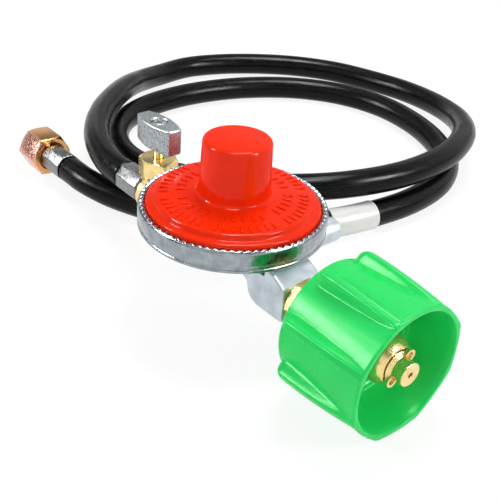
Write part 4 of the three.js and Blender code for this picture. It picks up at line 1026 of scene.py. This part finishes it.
class REGULATOR_OT_flare_nut(BuildOperator):
    """Machines the swivel flare nut and its inside thread"""

    bl_idname = "regulator.flare_nut"
    bl_label = "Flare Nut"

    def build(self, sizes):
        """Makes the hexagon with its recess, cone seat and thread."""
        front, back = span("flare_nut", "X")
        centre, bore = centre_of("flare_nut"), 7.6
        nut = prism("swivel_nut", 6, 19.05, front, back, centre=centre, corner=30, chamfer=1.2)
        soften(nut, 0.25, 2)
        recess = lathe("recess", [(0, back - 1.6), (6.6, back - 1.6, 0.4), (bore, back + 0.2),
                                  (0, back + 0.2)], centre=centre)
        mouth = lathe("mouth", [(0, front - 0.2), (8.5, front - 0.2), (bore, front + 0.9),
                                (0, front + 0.9)], centre=centre)
        carve(nut, rod("tail_bore", 5.55, front, back + 1, centre=centre),
              rod("thread_bore", bore, front - 1, back - 3.4, centre=centre), recess, mouth)
        join(nut, thread("flare_thread", bore, 0.55, 1.41, 6.4, front + 1.4, centre[1:], 0.6, 0.12))
        finish(nut, "yellow_chromate", "flare_nut", body="swivel_nut")


class REGULATOR_OT_inner_works(BuildOperator):
    """Gives the pieces inside their finishes"""

    bl_idname = "regulator.inner_works"
    bl_label = "Inner Works"

    def build(self, sizes):
        """Puts a procedural material on each CAD node that stays."""
        kinds = {
            "plated_steel": ("diaphragm_plate", "spring_button", "range_spring", "post_nut",
                             "lever_arm", "lever_pin", "flow_piston", "flow_spring", "valve_ball"),
            "turned_brass": ("pusher_post", "disc_holder", "inlet_orifice"),
            "moulded_black": ("diaphragm", "seat_disc", "hose_end_valve", "hose_end_flare"),
            "seal_white": ("ball_seat_inner", "ball_seat_outer", "stem_packing"),
        }
        for kind, nodes in kinds.items():
            for node in nodes:
                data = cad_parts[node].data
                data.materials.clear()
                data.materials.append(finish_of(kind))


# towards the round softboxes that shiny pieces mirror, from the object
SOFTBOXES = ((-0.53, -0.7, 0.48), (0.75, 0.35, 0.56), (0.06, -0.06, 1.0))
SOFTBOX_EDGE = (0.984, 0.993)   # cosines of the angles where a box's light starts and is full
SOFTBOX_LIGHT = 34.0
FLOOR_LIGHT = 1.06              # renders as white
FLOOR_SHARE = 0.8               # part of the floor's look that glows, the rest keeps the shadows
ROOM_SHARE = 0.06               # part of plain white in the room that shiny pieces mirror
ROOM_LEVELS = (0.14, 1.0)       # the room's dark and bright patches


class REGULATOR_OT_stage(BuildOperator):
    """Sets the white floor, the white surroundings and the soft lights"""

    bl_idname = "regulator.stage"
    bl_label = "Stage"

    def build(self, sizes):
        """Adds the floor, the world and three lamps."""
        scene = bpy.context.scene
        scene.view_settings.view_transform = "Standard"
        self.floor()
        self.surroundings(scene)
        self.lamp("overhead", (-140, 260, 820), (-60, 60, 0), 0.26, 3.4)
        self.lamp("window", (560, 300, 420), (0, 0, 40), 0.14, 1.9)
        self.lamp("side", (-420, -560, 380), (0, 0, 30), 0.14, 2.0)

    def floor(self):
        """A white floor that keeps the object's soft shadow."""
        clear_selection()
        bpy.ops.mesh.primitive_plane_add(size=12, location=(0, 0, -0.0001))
        floor = settle(named("floor"))
        material, tree, shader = blank("white_floor", (0.86, 0.86, 0.86), Roughness=0.9)
        rays = add(tree, "LightPath")
        seen = rays.outputs["Is Camera Ray"]
        for ray in ("Is Glossy Ray", "Is Transmission Ray"):
            both = add(tree, "Math", {0: seen, 1: rays.outputs[ray]}, operation="MAXIMUM")
            seen = both.outputs[0]
        part = add(tree, "Math", {0: seen, 1: FLOOR_SHARE}, operation="MULTIPLY")
        white = add(tree, "Emission", {"Color": (1, 1, 1, 1), "Strength": FLOOR_LIGHT})
        mix = add(tree, "MixShader", {0: part.outputs[0], 1: shader.outputs[0], 2: white.outputs[0]})
        tree.links.new(mix.outputs[0], tree.nodes["Material Output"].inputs["Surface"])
        floor.data.materials.append(material)

    def surroundings(self, scene):
        """White to the camera; a softer, uneven room lights the object."""
        world = bpy.data.worlds.new("white_room")
        world.use_nodes = True
        scene.world = world
        tree = world.node_tree
        rays = add(tree, "LightPath")
        shiny = rays.outputs["Is Glossy Ray"]
        seen = add(tree, "Math", {
            0: rays.outputs["Is Camera Ray"], 1: rays.outputs["Is Transmission Ray"]},
                   operation="MAXIMUM")
        glossy = add(tree, "Math", {0: shiny, 1: ROOM_SHARE}, operation="MULTIPLY")
        part = add(tree, "Math", {0: seen.outputs[0], 1: glossy.outputs[0]}, operation="MAXIMUM")
        direction = add(tree, "TexCoord").outputs["Generated"]
        patches = add(tree, "TexNoise", {"Vector": direction, "Scale": 1.7, "Detail": 1.0})
        level = add(tree, "MapRange", {
            "Value": patches.outputs["Fac"], "From Min": 0.38, "From Max": 0.62,
            "To Min": ROOM_LEVELS[0], "To Max": ROOM_LEVELS[1]})
        light = level.outputs[0]
        for way in SOFTBOXES:
            toward = add(tree, "VectorMath", {0: direction, 1: Vector(way).normalized()},
                         operation="DOT_PRODUCT")
            disc = add(tree, "MapRange", {
                "Value": toward.outputs["Value"], "From Min": SOFTBOX_EDGE[0],
                "From Max": SOFTBOX_EDGE[1], "To Min": 0.0, "To Max": SOFTBOX_LIGHT})
            shown = add(tree, "Math", {0: disc.outputs[0], 1: shiny}, operation="MULTIPLY")
            light = add(tree, "Math", {0: light, 1: shown.outputs[0]}, operation="ADD").outputs[0]
        room = add(tree, "Background", {"Color": (1, 1, 1, 1), "Strength": light})
        white = add(tree, "Background", {"Color": (1, 1, 1, 1), "Strength": 1.0})
        mix = add(tree, "MixShader", {0: part.outputs[0], 1: room.outputs[0], 2: white.outputs[0]})
        tree.links.new(mix.outputs[0], tree.nodes["World Output"].inputs["Surface"])

    def lamp(self, name, place, target, size, watts):
        """A square soft light aimed at the object; the places are in millimetres."""
        clear_selection()
        bpy.ops.object.light_add(type="AREA", location=mm(*place))
        lamp = bpy.context.active_object
        lamp.name = name
        lamp.data.size = size
        lamp.data.energy = watts
        lamp.rotation_euler = (mm(*target) - mm(*place)).to_track_quat("-Z", "Y").to_euler()


STEPS = (
    REGULATOR_OT_camera, REGULATOR_OT_hose, REGULATOR_OT_bonnet, REGULATOR_OT_casting,
    REGULATOR_OT_inlet, REGULATOR_OT_nut, REGULATOR_OT_valve, REGULATOR_OT_hose_ends,
    REGULATOR_OT_flare_nut, REGULATOR_OT_inner_works, REGULATOR_OT_stage,
)


class REGULATOR_PT_pieces(Panel):
    """Lists the steps that build the regulator"""

    bl_label = "Regulator"
    bl_idname = "REGULATOR_PT_pieces"
    bl_space_type = "VIEW_3D"
    bl_region_type = "UI"
    bl_category = "Regulator"

    def draw(self, context):
        """Draws one button for each step and the properties below them."""
        for step in STEPS:
            self.layout.operator(step.bl_idname)
        for group in (context.scene.regulator_sizes, context.scene.regulator_colours):
            for name in group.__annotations__:
                self.layout.prop(group, name)


CLASSES = (RegulatorColours, RegulatorSizes, *STEPS, REGULATOR_PT_pieces)


def register():
    """Registers the classes and their properties."""
    for item in CLASSES:
        bpy.utils.register_class(item)
    bpy.types.Scene.regulator_colours = PointerProperty(type=RegulatorColours)
    bpy.types.Scene.regulator_sizes = PointerProperty(type=RegulatorSizes)


def unregister():
    """Removes the properties and the classes."""
    del bpy.types.Scene.regulator_sizes
    del bpy.types.Scene.regulator_colours
    for item in reversed(CLASSES):
        bpy.utils.unregister_class(item)


def main():
    """Builds every piece in order."""
    register()
    for step in STEPS:
        group, name = step.bl_idname.split(".")
        getattr(getattr(bpy.ops, group), name)()
    clear_selection()


if __name__ == "__main__":
    main()
